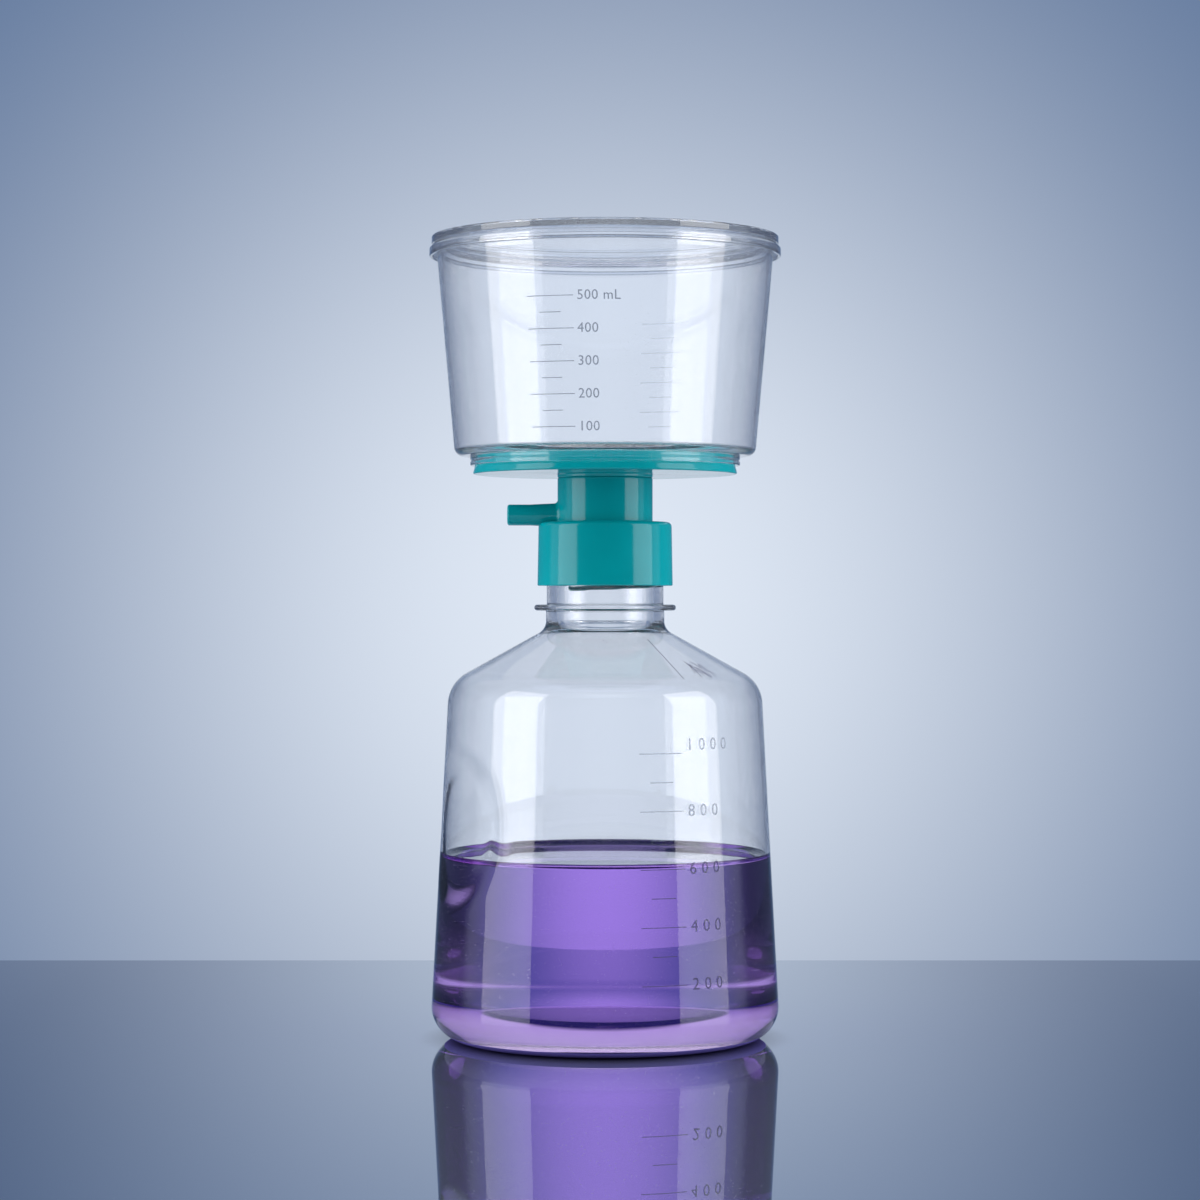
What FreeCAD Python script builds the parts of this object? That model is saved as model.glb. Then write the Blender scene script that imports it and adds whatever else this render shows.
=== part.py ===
import FreeCAD, Part
import math
import os

import Sketcher

# A disposable vacuum filtration unit: a clear funnel with a press-on lid stands on a teal
# base plate that holds the filter membrane, and a teal neck adapter with a vacuum side arm
# screws the filter head onto a clear receiver bottle that holds the filtrate.
#
# Millimetres, +Z up. The origin is the centre of the ring that the bottle stands on. Every
# piece is modelled where it sits in the closed unit, and each is revolved about the Z axis
# unless it says otherwise. Heights stack up from the surface that the bottle stands on.

SIZES = {
    # Bottle body: its wall runs straight from the foot to the shoulder, drawn in by 3 degrees.
    "body_foot_radius": 61.8,
    "body_draft": 6.7,
    "shoulder_height": 125.3,
    "heel_radius": 11.5,
    "shoulder_blend": 13.1,
    "foot_land": 5.0,
    "push_up": 6.0,
    "push_up_radius": 30.0,
    "body_wall": 1.5,
    "base_thickness": 3.0,
    "inner_heel_radius": 9.5,
    # Thumb grip: a round recess with a gently curved floor in the front left of the body.
    "grip_height": 74.5,
    "grip_angle": 207.0,
    "grip_radius": 26.0,
    "grip_depth": 1.9,
    "grip_floor_radius": 64.0,
    # Bottle neck, with the support ring it was moulded by.
    "shoulder_rise": 18.9,
    "neck_root_step": 0.3,
    "neck_root_blend": 4.8,
    "neck_radius": 20.6,
    "neck_wall": 3.3,
    "neck_length": 25.6,
    "lip_bevel": 0.6,
    "ring_width": 4.4,
    "ring_rise": 6.5,
    "ring_thickness": 2.1,
    "ring_bevel": 0.6,
    "fill_height": 65.7,
    # Screw thread shared by the bottle neck and the collar.
    "thread_pitch": 5.0,
    "thread_depth": 1.2,
    "thread_root_width": 2.4,
    "thread_crest_width": 1.0,
    "thread_start": 19.3,
    "thread_turns": 3.0,
    "thread_angle": 231.0,
    "thread_clearance": 0.35,
    "collar_turns": 2.0,
    # Gasket between the bottle's lip and the roof of the collar.
    "gasket_thickness": 1.5,
    "gasket_width": 3.6,
    # Neck adapter: screw collar, stem and side arm in one moulding.
    "collar_skirt": 19.0,
    "collar_wall": 1.75,
    "collar_draft": 0.4,
    "collar_roof": 2.0,
    "collar_bevel": 1.5,
    "stem_radius": 16.8,
    "stem_wall": 2.2,
    "stem_length": 15.55,
    "seam_chamfer": 0.45,
    "arm_rise": 2.5,
    "arm_reach": 34.5,
    "arm_tip_radius": 3.7,
    "arm_draft": 0.4,
    "arm_land": 8.0,
    "arm_bore_radius": 2.4,
    "arm_bevel": 0.7,
    "plug_length": 8.0,
    "plug_inset": 4.0,
    # Base plate: the flange, the drained seat of the filter, and the drip spout.
    "hub_length": 1.25,
    "flange_thickness": 3.0,
    "flange_flare": 0.8,
    "plate_radius": 45.9,
    "plate_rise": 4.1,
    "plate_floor": 2.2,
    "drain_fall": 2.0,
    "drain_radius": 3.5,
    "seat_step": 1.4,
    "rib_width": 1.6,
    "spigot_length": 3.0,
    "spout_radius": 5.0,
    "spout_length": 24.0,
    "spout_bevel": 5.0,
    # Support plate and membrane.
    "membrane_inset": 1.5,
    "membrane_thickness": 0.3,
    "support_inset": 1.0,
    "support_thickness": 2.0,
    "slot_width": 2.6,
    "inner_slot_start": 9.0,
    "inner_slot_end": 21.0,
    "outer_slot_start": 24.0,
    "outer_slot_end": 38.0,
    # Funnel: straight wall that opens by 5 degrees, with a skirted rim and a foot ring.
    "funnel_depth": 74.9,
    "funnel_lap": 0.7,
    "funnel_foot_radius": 53.0,
    "funnel_flare": 6.65,
    "funnel_wall": 1.5,
    "funnel_floor": 2.2,
    "funnel_heel_radius": 3.3,
    "funnel_inner_bevel": 1.5,
    "clamp_width": 2.4,
    "foot_ring_wall": 1.65,
    "foot_ring_groove": 0.45,
    "rim_overhang": 2.35,
    "rim_slope": 2.0,
    "rim_skirt": 4.7,
    "rim_wall": 1.2,
    # Lid: a disc with a turned-down edge, located by a ring inside the funnel.
    "lid_inset": 0.8,
    "lid_rise": 2.3,
    "lid_thickness": 1.5,
    "lid_edge_width": 1.8,
    "lid_edge_drop": 0.3,
    "lid_ring_depth": 2.5,
    "lid_ring_wall": 1.3,
    "lid_clearance": 0.3,
    "lid_bevel": 0.5,
    # Gap at welded and pushed-in joints, where one moulding is seated in another.
    "seat_gap": 0.05,
}
SLOT_COUNT = 12
RIB_COUNT = 8
FACE_LIMIT = 1e-4


class Size:
    """A number together with the expression that ties it to the sheet."""

    def __init__(self, value, formula):
        self.value = float(value)
        self.formula = formula

    def __add__(self, other):
        other = as_size(other)
        return Size(self.value + other.value, f"({self.formula} + {other.formula})")

    def __sub__(self, other):
        other = as_size(other)
        return Size(self.value - other.value, f"({self.formula} - {other.formula})")

    def __mul__(self, other):
        other = as_size(other)
        return Size(self.value * other.value, f"({self.formula} * {other.formula})")

    def __truediv__(self, other):
        other = as_size(other)
        return Size(self.value / other.value, f"({self.formula} / {other.formula})")

    def __neg__(self):
        return Size(-self.value, f"(-{self.formula})")


def as_size(number):
    """A plain number as a Size, and a Size as it is."""
    if isinstance(number, Size):
        return number
    return Size(number, repr(number))


def make_sheet(document):
    """The spreadsheet of driving sizes, and the same sizes by name for the code below."""
    sheet = document.addObject("Spreadsheet::Sheet", "sizes")
    linked = {}
    for row, (alias, number) in enumerate(SIZES.items(), 1):
        sheet.set(f"A{row}", alias)
        sheet.set(f"B{row}", str(number))
        sheet.setAlias(f"B{row}", alias)
        linked[alias] = Size(number, f"sizes.{alias}")
    document.recompute()
    return linked


doc = FreeCAD.newDocument("filtration_unit")
S = make_sheet(doc)
ZERO = Size(0, "0")

# Heights of the main levels, each set on the one below it.
NECK_ROOT = S["shoulder_height"] + S["shoulder_rise"]
RING_FOOT = NECK_ROOT + S["ring_rise"]
RING_TOP = RING_FOOT + S["ring_thickness"]
BOTTLE_TOP = RING_TOP + S["neck_length"]
THREAD_START = BOTTLE_TOP - S["thread_start"]
COLLAR_ROOF = BOTTLE_TOP + S["gasket_thickness"]
COLLAR_TOP = COLLAR_ROOF + S["collar_roof"]
ARM_AXIS = COLLAR_TOP + S["arm_rise"]
STEM_TOP = COLLAR_TOP + S["stem_length"]
FLANGE_FOOT = STEM_TOP + S["hub_length"]
FLANGE_TOP = FLANGE_FOOT + S["flange_thickness"]
PLATE_TOP = FLANGE_TOP + S["plate_rise"]
MEMBRANE_FOOT = PLATE_TOP - S["membrane_thickness"]
LEDGE = MEMBRANE_FOOT - S["support_thickness"]
FUNNEL_FLOOR = PLATE_TOP - S["funnel_lap"]
FUNNEL_TOP = FUNNEL_FLOOR + S["funnel_depth"]

# Radii that are set from the piece they belong to or fit.
BODY_TOP_RADIUS = S["body_foot_radius"] - S["body_draft"]
NECK_ROOT_RADIUS = S["neck_radius"] + S["neck_root_step"]
NECK_BORE = S["neck_radius"] - S["neck_wall"]
COLLAR_BORE = S["neck_radius"] + S["thread_depth"] + S["thread_clearance"]
STEM_BORE = S["stem_radius"] - S["stem_wall"]
MEMBRANE_RADIUS = S["plate_radius"] - S["membrane_inset"]
SUPPORT_RADIUS = MEMBRANE_RADIUS - S["support_inset"]
FOOT_RING_BORE = S["plate_radius"] + S["seat_gap"]
FOOT_RING_RADIUS = FOOT_RING_BORE + S["foot_ring_wall"]
RIM_RADIUS = S["funnel_foot_radius"] + S["funnel_flare"] + S["rim_overhang"]


# ---------------------------------------------------------------- drawing helpers


def new_body(label):
    """An empty PartDesign body."""
    body = doc.addObject("PartDesign::Body", label)
    body.Label = label
    return body


def origin_plane(body, role):
    """One of a body's own origin planes."""
    for feature in body.Origin.OriginFeatures:
        if feature.Role == role:
            return feature
    raise RuntimeError(f"{body.Label} has no {role}")


def new_sketch(body, name, role="XZ_Plane"):
    """An empty sketch on an origin plane of its body."""
    sketch = body.newObject("Sketcher::SketchObject", name)
    sketch.AttachmentSupport = [(origin_plane(body, role), "")]
    sketch.MapMode = "FlatFace"
    return sketch


def bind(sketch, kind, geometry, vertex, size):
    """Holds one coordinate of a vertex at a size measured from the sketch's origin."""
    if size.value == 0:
        axis = -2 if kind == "DistanceX" else -1
        sketch.addConstraint(Sketcher.Constraint("PointOnObject", geometry, vertex, axis))
        return
    where = sketch.addConstraint(
        Sketcher.Constraint(kind, -1, 1, geometry, vertex, size.value)
    )
    sketch.setExpression(f"Constraints[{where}]", size.formula)


def corner_arc(before, corner, after, radius):
    """The arc that rounds a corner of an outline, and where it starts and ends along it."""
    arrive = (corner - before).normalize()
    leave = (after - corner).normalize()
    half_turn = arrive.getAngle(leave) / 2
    start = corner - arrive * (radius * math.tan(half_turn))
    end = corner + leave * (radius * math.tan(half_turn))
    inward = (leave - arrive).normalize()
    centre = corner + inward * (radius / math.cos(half_turn))
    circle = Part.Circle(centre, FreeCAD.Vector(0, 0, 1), radius)
    turns_left = arrive.cross(leave).z > 0
    first, last = (start, end) if turns_left else (end, start)
    arc = Part.ArcOfCircle(circle, circle.parameter(first), circle.parameter(last))
    return arc, start, end, turns_left


def round_corner(sketch, side, following, arc, turns_left, corner):
    """Joins two sides by an arc, tangent to both, and holds its radius and its corner point."""
    x, y, radius = corner
    curve = sketch.addGeometry(arc, False)
    first, last = (1, 2) if turns_left else (2, 1)
    sketch.addConstraint(Sketcher.Constraint("Tangent", side, 2, curve, first))
    sketch.addConstraint(Sketcher.Constraint("Tangent", curve, last, following, 1))
    bend = sketch.addConstraint(Sketcher.Constraint("Radius", curve, radius.value))
    sketch.setExpression(f"Constraints[{bend}]", radius.formula)
    point = sketch.addGeometry(Part.Point(FreeCAD.Vector(x.value, y.value, 0)), True)
    for line in (side, following):
        sketch.addConstraint(Sketcher.Constraint("PointOnObject", point, 1, line))
    bind(sketch, "DistanceX", point, 1, x)
    bind(sketch, "DistanceY", point, 1, y)


def draw_outline(sketch, points):
    """A closed outline through points. A point's third value, where it has one, rounds it."""
    corners = [[as_size(value) for value in point] for point in points]
    count = len(corners)
    places = [FreeCAD.Vector(corner[0].value, corner[1].value, 0) for corner in corners]
    starts, ends, arcs = list(places), places[1:] + places[:1], {}
    for index, corner in enumerate(corners):
        if len(corner) > 2:
            following = places[(index + 1) % count]
            rounding = corner_arc(
                places[index - 1], places[index], following, corner[2].value
            )
            arcs[index], ends[index - 1], starts[index], turns_left = rounding
            arcs[index] = (arcs[index], turns_left)
    for start, end in zip(starts, ends):
        sketch.addGeometry(Part.LineSegment(start, end), False)
    for index, corner in enumerate(corners):
        side = (index - 1) % count
        if index in arcs:
            round_corner(sketch, side, index, *arcs[index], corner)
        else:
            sketch.addConstraint(Sketcher.Constraint("Coincident", side, 2, index, 1))
            bind(sketch, "DistanceX", index, 1, corner[0])
            bind(sketch, "DistanceY", index, 1, corner[1])


def turned(body, kind, name, points):
    """A Revolution or a Groove about the Z axis, from an outline of radii and heights."""
    sketch = new_sketch(body, f"{name}_outline")
    draw_outline(sketch, points)
    feature = body.newObject(f"PartDesign::{kind}", name)
    feature.Profile = sketch
    feature.ReferenceAxis = (sketch, ["V_Axis"])
    feature.Angle = 360
    doc.recompute()
    return feature


def extruded(body, kind, name, points, low, high, role="XY_Plane"):
    """A Pad or a Pocket of an outline, from the height low to the height high."""
    sketch = new_sketch(body, f"{name}_outline", role)
    draw_outline(sketch, points)
    sketch.setExpression("AttachmentOffset.Base.z", as_size(low).formula)
    feature = body.newObject(f"PartDesign::{kind}", name)
    feature.Profile = sketch
    feature.setExpression("Length", (as_size(high) - low).formula)
    feature.Reversed = kind == "Pocket"
    doc.recompute()
    return feature


def around(body, name, feature, count):
    """Copies of a feature, evenly spaced about the Z axis."""
    pattern = body.newObject("PartDesign::PolarPattern", name)
    pattern.Originals = [feature]
    pattern.Axis = (feature.Profile[0], ["N_Axis"])
    pattern.Angle = 360
    pattern.Occurrences = count
    body.Tip = pattern
    doc.recompute()
    return pattern


def circles(feature):
    """The name and circle of each circular edge of a feature."""
    found = []
    for index, edge in enumerate(feature.Shape.Edges, 1):
        if not edge.Degenerated and isinstance(edge.Curve, Part.Circle):
            found.append((f"Edge{index}", edge.Curve))
    return found


def rims(feature, corners):
    """Names of the circular edges that a feature has at the given radii and heights."""
    names = []
    for name, circle in circles(feature):
        for radius, height in corners:
            at_radius = abs(circle.Radius - as_size(radius).value) < FACE_LIMIT
            at_height = abs(circle.Center.z - as_size(height).value) < FACE_LIMIT
            if at_radius and at_height:
                names.append(name)
    if len(names) < len(corners):
        raise RuntimeError(f"{feature.Label} lacks an edge to bevel")
    return names


def chamfered(body, name, feature, corners, size):
    """A chamfer on the edges that a feature has at the given radii and heights."""
    chamfer = body.newObject("PartDesign::Chamfer", name)
    chamfer.Base = (feature, rims(feature, corners))
    chamfer.setExpression("Size", as_size(size).formula)
    doc.recompute()
    return chamfer


def threaded(body, name, root, crest, height, turns):
    """A right-hand thread ridge about the Z axis. Its lower end is centred at height."""
    sketch = new_sketch(body, f"{name}_section")
    turn = FreeCAD.Rotation(FreeCAD.Vector(0, 1, 0), SIZES["thread_angle"])
    sketch.AttachmentOffset = FreeCAD.Placement(FreeCAD.Vector(), turn)
    sketch.setExpression("AttachmentOffset.Rotation.Angle", S["thread_angle"].formula)
    wide, narrow = S["thread_root_width"] / 2, S["thread_crest_width"] / 2
    section = [
        (root, height - wide),
        (crest, height - narrow),
        (crest, height + narrow),
        (root, height + wide),
    ]
    draw_outline(sketch, section)
    ridge = body.newObject("PartDesign::AdditiveHelix", name)
    ridge.Profile = sketch
    ridge.ReferenceAxis = (sketch, ["V_Axis"])
    ridge.Mode = "pitch-turns-angle"
    ridge.setExpression("Pitch", S["thread_pitch"].formula)
    ridge.setExpression("Turns", turns.formula)
    doc.recompute()
    return ridge


def primitive(kind, name, **sizes):
    """A Part primitive whose properties are bound to the sheet."""
    thing = doc.addObject(f"Part::{kind}", name)
    for prop, size in sizes.items():
        thing.setExpression(prop, as_size(size).formula)
    return thing


def cut(name, base, tool):
    """One object less another."""
    result = doc.addObject("Part::Cut", name)
    result.Base = base
    result.Tool = tool
    result.Label = name
    doc.recompute()
    return result


# ---------------------------------------------------------------- receiver bottle


def body_radius(height):
    """Outer radius of the bottle's straight body wall at a height."""
    return S["body_foot_radius"] - S["body_draft"] / S["shoulder_height"] * height


def shoulder_line(radius):
    """Height of the outside of the shoulder cone at a radius."""
    slope = S["shoulder_rise"] / (BODY_TOP_RADIUS - NECK_ROOT_RADIUS)
    return NECK_ROOT - slope * (radius - NECK_ROOT_RADIUS)


def grip_placement():
    """Places a tool whose X axis leaves the wall at the middle of the grip."""
    height = SIZES["grip_height"]
    tilt = math.degrees(math.atan2(SIZES["body_draft"], SIZES["shoulder_height"]))
    radius = body_radius(S["grip_height"]).value
    turn = FreeCAD.Rotation(FreeCAD.Vector(0, 0, 1), SIZES["grip_angle"])
    lean = FreeCAD.Rotation(FreeCAD.Vector(0, 1, 0), -tilt)
    middle = turn.multVec(FreeCAD.Vector(radius, 0, height))
    return FreeCAD.Placement(middle, turn * lean)


def grip_tool(name, grow):
    """The space that the grip takes out of the body, drawn in its own frame and then placed.

    grow is how far the tool's round side and its curved floor stand beyond the grip itself."""
    reach = BODY_TOP_RADIUS - NECK_ROOT_RADIUS
    punch = primitive("Cylinder", f"{name}_punch", Radius=S["grip_radius"] + grow, Height=reach)
    punch.setExpression("Placement.Base.x", (-reach / 2).formula)
    punch.Placement.Rotation = FreeCAD.Rotation(FreeCAD.Vector(0, 1, 0), 90)
    floor_radius = S["grip_floor_radius"] - grow
    tall = S["grip_radius"] * 3
    floor = primitive("Cylinder", f"{name}_floor", Radius=floor_radius, Height=tall)
    floor.setExpression(
        "Placement.Base.x", (-(S["grip_depth"] + S["grip_floor_radius"])).formula
    )
    floor.setExpression("Placement.Base.z", (-tall / 2).formula)
    tool = cut(name, punch, floor)
    tool.Placement = grip_placement()
    return tool


def make_cavity():
    """The inside of the bottle as a solid, which the liquid shares."""
    body = new_body("bottle_cavity")
    wall = S["body_wall"]
    floor = S["base_thickness"]
    corner_radius = BODY_TOP_RADIUS - wall
    foot = body_radius(floor) - wall
    corner = (corner_radius, shoulder_line(corner_radius) - wall)
    root = (NECK_BORE, shoulder_line(NECK_BORE) - wall)
    turned(
        body,
        "Revolution",
        "inside",
        [
            (ZERO, S["push_up"] + floor),
            (S["push_up_radius"], S["push_up"] + floor),
            (foot, floor, S["inner_heel_radius"]),
            (*corner, S["shoulder_blend"] - wall),
            (*root, S["neck_root_blend"] + wall),
            (NECK_BORE, BOTTLE_TOP + wall),
            (ZERO, BOTTLE_TOP + wall),
        ],
    )
    return cut("bottle_inside", body, grip_tool("inner_grip", wall))


def make_bottle(cavity):
    """Receiver bottle: pushed-up base, tapered body with a thumb grip, threaded neck."""
    body = new_body("bottle_form")
    foot = S["body_foot_radius"] - S["heel_radius"]
    outside = turned(
        body,
        "Revolution",
        "outside",
        [
            (ZERO, S["push_up"]),
            (S["push_up_radius"], S["push_up"]),
            (foot - S["foot_land"], ZERO),
            (S["body_foot_radius"], ZERO, S["heel_radius"]),
            (BODY_TOP_RADIUS, S["shoulder_height"], S["shoulder_blend"]),
            (NECK_ROOT_RADIUS, NECK_ROOT, S["neck_root_blend"]),
            (NECK_ROOT_RADIUS, RING_FOOT),
            (S["neck_radius"], RING_FOOT),
            (S["neck_radius"], BOTTLE_TOP),
            (ZERO, BOTTLE_TOP),
        ],
    )
    chamfered(body, "lip", outside, [(S["neck_radius"], BOTTLE_TOP)], S["lip_bevel"])
    ring_root = S["neck_radius"] - S["neck_wall"] / 2
    ring_edge = S["neck_radius"] + S["ring_width"]
    ring = turned(
        body,
        "Revolution",
        "support_ring",
        [
            (ring_root, RING_FOOT),
            (ring_edge, RING_FOOT),
            (ring_edge, RING_TOP),
            (ring_root, RING_TOP),
        ],
    )
    edges = [(ring_edge, RING_FOOT), (ring_edge, RING_TOP)]
    chamfered(body, "ring_edge", ring, edges, S["ring_bevel"])
    threaded(
        body,
        "neck_thread",
        S["neck_radius"] - S["thread_clearance"],
        S["neck_radius"] + S["thread_depth"],
        THREAD_START,
        S["thread_turns"],
    )
    gripped = cut("bottle_gripped", body, grip_tool("outer_grip", ZERO))
    return cut("bottle", gripped, cavity)


def make_filtrate(cavity):
    """The liquid: everything inside the bottle below the fill height."""
    level = primitive(
        "Cylinder", "fill_level", Radius=S["body_foot_radius"] * 2, Height=S["fill_height"]
    )
    liquid = doc.addObject("Part::Common", "filtrate")
    liquid.Base = cavity
    liquid.Tool = level
    liquid.Label = "filtrate"
    doc.recompute()
    return liquid


# ---------------------------------------------------------------- neck adapter


def make_gasket():
    """Flat ring gasket between the bottle's lip and the collar's roof."""
    body = new_body("neck_gasket")
    outer = COLLAR_BORE - S["thread_clearance"]
    inner = outer - S["gasket_width"]
    turned(
        body,
        "Revolution",
        "ring",
        [
            (inner, BOTTLE_TOP),
            (outer, BOTTLE_TOP),
            (outer, COLLAR_ROOF),
            (inner, COLLAR_ROOF),
        ],
    )
    return body


def make_adapter():
    """Neck adapter: screw collar, hollow stem and vacuum side arm, moulded in one."""
    body = new_body("neck_adapter")
    foot = BOTTLE_TOP - S["collar_skirt"]
    foot_radius = COLLAR_BORE + S["collar_wall"]
    top_radius = foot_radius - S["collar_draft"]
    shell = turned(
        body,
        "Revolution",
        "shell",
        [
            (COLLAR_BORE, foot),
            (foot_radius, foot),
            (top_radius, COLLAR_TOP),
            (S["stem_radius"], COLLAR_TOP),
            (S["stem_radius"], STEM_TOP),
            (STEM_BORE, STEM_TOP),
            (STEM_BORE, COLLAR_ROOF),
            (COLLAR_BORE, COLLAR_ROOF),
        ],
    )
    corner = [(top_radius, COLLAR_TOP)]
    crown = chamfered(body, "collar_crown", shell, corner, S["collar_bevel"])
    chamfered(body, "seam", crown, [(S["stem_radius"], STEM_TOP)], S["seam_chamfer"])
    make_side_arm(body)
    threaded(
        body,
        "collar_thread",
        COLLAR_BORE + S["thread_clearance"],
        S["neck_radius"] + S["thread_clearance"],
        THREAD_START + S["thread_pitch"] / 2,
        S["collar_turns"],
    )
    return body


def arm_sketch(body, name, points):
    """A half section of the side arm, drawn about the arm's own axis, which points to -X."""
    sketch = new_sketch(body, name)
    sketch.setExpression("AttachmentOffset.Base.y", ARM_AXIS.formula)
    draw_outline(sketch, points)
    return sketch


def make_side_arm(body):
    """The vacuum port: a drafted tube with a straight land at its tip, bored into the stem."""
    root = S["stem_radius"] - S["stem_wall"] / 2
    land = S["arm_reach"] - S["arm_land"]
    tube = body.newObject("PartDesign::Revolution", "arm")
    tube.Profile = arm_sketch(
        body,
        "arm_outline",
        [
            (-root, ZERO),
            (-root, S["arm_tip_radius"] + S["arm_draft"]),
            (-land, S["arm_tip_radius"]),
            (-S["arm_reach"], S["arm_tip_radius"]),
            (-S["arm_reach"], ZERO),
        ],
    )
    tube.ReferenceAxis = (tube.Profile[0], ["H_Axis"])
    tube.Angle = 360
    doc.recompute()
    tip = [
        name
        for name, circle in circles(tube)
        if abs(circle.Center.x + SIZES["arm_reach"]) < FACE_LIMIT
    ]
    nose = body.newObject("PartDesign::Chamfer", "arm_tip")
    nose.Base = (tube, tip)
    nose.setExpression("Size", S["arm_bevel"].formula)
    doc.recompute()
    hole = body.newObject("PartDesign::Groove", "arm_bore")
    inner_end = STEM_BORE - S["arm_bore_radius"]
    hole.Profile = arm_sketch(
        body,
        "arm_bore_outline",
        [
            (-inner_end, ZERO),
            (-inner_end, S["arm_bore_radius"]),
            (-(S["arm_reach"] + S["arm_bevel"]), S["arm_bore_radius"]),
            (-(S["arm_reach"] + S["arm_bevel"]), ZERO),
        ],
    )
    hole.ReferenceAxis = (hole.Profile[0], ["H_Axis"])
    hole.Angle = 360
    doc.recompute()


def make_plug():
    """Fibre plug that keeps the vacuum line sterile, pushed into the side arm's bore."""
    body = new_body("sidearm_plug")
    radius = S["arm_bore_radius"] - S["seat_gap"]
    outer = S["arm_reach"] - S["plug_inset"]
    wad = body.newObject("PartDesign::Revolution", "wad")
    wad.Profile = arm_sketch(
        body,
        "wad_outline",
        [
            (-outer, ZERO),
            (-outer, radius),
            (-(outer - S["plug_length"]), radius),
            (-(outer - S["plug_length"]), ZERO),
        ],
    )
    wad.ReferenceAxis = (wad.Profile[0], ["H_Axis"])
    wad.Angle = 360
    doc.recompute()
    return body


# ---------------------------------------------------------------- filter seat


def make_base_plate():
    """Base plate: flange, drained seat with radial ribs, hub and bevelled drip spout."""
    body = new_body("base_plate")
    spigot = STEM_BORE - S["seat_gap"]
    seat = SUPPORT_RADIUS + S["seat_gap"] * 2
    membrane_seat = MEMBRANE_RADIUS + S["seat_gap"] * 2
    drain_edge = seat - S["seat_step"]
    low = FLANGE_FOOT + S["plate_floor"]
    spigot_foot = STEM_TOP - S["spigot_length"]
    spout_foot = spigot_foot - S["spout_length"]
    plate = turned(
        body,
        "Revolution",
        "plate",
        [
            (S["drain_radius"], spout_foot),
            (S["spout_radius"], spout_foot),
            (S["spout_radius"], spigot_foot),
            (spigot, spigot_foot),
            (spigot, STEM_TOP),
            (S["stem_radius"], STEM_TOP),
            (S["stem_radius"], FLANGE_FOOT),
            (S["plate_radius"] + S["flange_flare"], FLANGE_FOOT),
            (S["plate_radius"], FLANGE_TOP),
            (S["plate_radius"], PLATE_TOP),
            (membrane_seat, PLATE_TOP),
            (membrane_seat, MEMBRANE_FOOT),
            (seat, MEMBRANE_FOOT),
            (seat, LEDGE),
            (drain_edge, LEDGE),
            (drain_edge, low + S["drain_fall"]),
            (S["drain_radius"], low),
        ],
    )
    chamfered(body, "seam", plate, [(S["stem_radius"], STEM_TOP)], S["seam_chamfer"])
    rib = extruded(
        body,
        "Pad",
        "rib",
        [
            (S["drain_radius"] * 2, -S["rib_width"] / 2),
            (drain_edge + S["seat_gap"], -S["rib_width"] / 2),
            (drain_edge + S["seat_gap"], S["rib_width"] / 2),
            (S["drain_radius"] * 2, S["rib_width"] / 2),
        ],
        low - S["seat_gap"],
        LEDGE,
    )
    around(body, "ribs", rib, RIB_COUNT)
    bevel = body.newObject("PartDesign::Pocket", "spout_bevel")
    bevel.Profile = new_sketch(body, "spout_bevel_outline")
    draw_outline(
        bevel.Profile[0],
        [
            (-S["spout_radius"] * 2, spout_foot - S["spout_bevel"] / 2),
            (S["spout_radius"] * 2, spout_foot - S["spout_bevel"] / 2),
            (-S["spout_radius"] * 2, spout_foot + S["spout_bevel"] * 3 / 2),
        ],
    )
    bevel.Midplane = True
    bevel.setExpression("Length", (S["spout_radius"] * 4).formula)
    doc.recompute()
    return body


def make_support_plate():
    """Support plate: a flat disc with two rings of radial slots that the liquid drains through."""
    body = new_body("support_plate")
    turned(
        body,
        "Revolution",
        "disc",
        [
            (ZERO, LEDGE),
            (SUPPORT_RADIUS, LEDGE),
            (SUPPORT_RADIUS, MEMBRANE_FOOT),
            (ZERO, MEMBRANE_FOOT),
        ],
    )
    rings = (
        ("inner", S["inner_slot_start"], S["inner_slot_end"], SLOT_COUNT),
        ("outer", S["outer_slot_start"], S["outer_slot_end"], 2 * SLOT_COUNT),
    )
    for name, start, end, count in rings:
        narrow = S["slot_width"] * start / end / 2
        wide = S["slot_width"] / 2
        slot = extruded(
            body,
            "Pocket",
            f"{name}_slot",
            [(start, -narrow), (end, -wide), (end, wide), (start, narrow)],
            LEDGE,
            MEMBRANE_FOOT,
        )
        around(body, f"{name}_slots", slot, count)
    return body


def make_membrane():
    """Filter membrane: a thin disc whose edge is clamped under the funnel's floor."""
    body = new_body("membrane")
    turned(
        body,
        "Revolution",
        "disc",
        [
            (ZERO, MEMBRANE_FOOT),
            (MEMBRANE_RADIUS, MEMBRANE_FOOT),
            (MEMBRANE_RADIUS, PLATE_TOP),
            (ZERO, PLATE_TOP),
        ],
    )
    return body


# ---------------------------------------------------------------- funnel and lid


def funnel_radius(height):
    """Outer radius of the funnel's wall at a height."""
    opening = S["funnel_flare"] / S["funnel_depth"]
    return S["funnel_foot_radius"] + opening * (height - FUNNEL_FLOOR)


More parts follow.
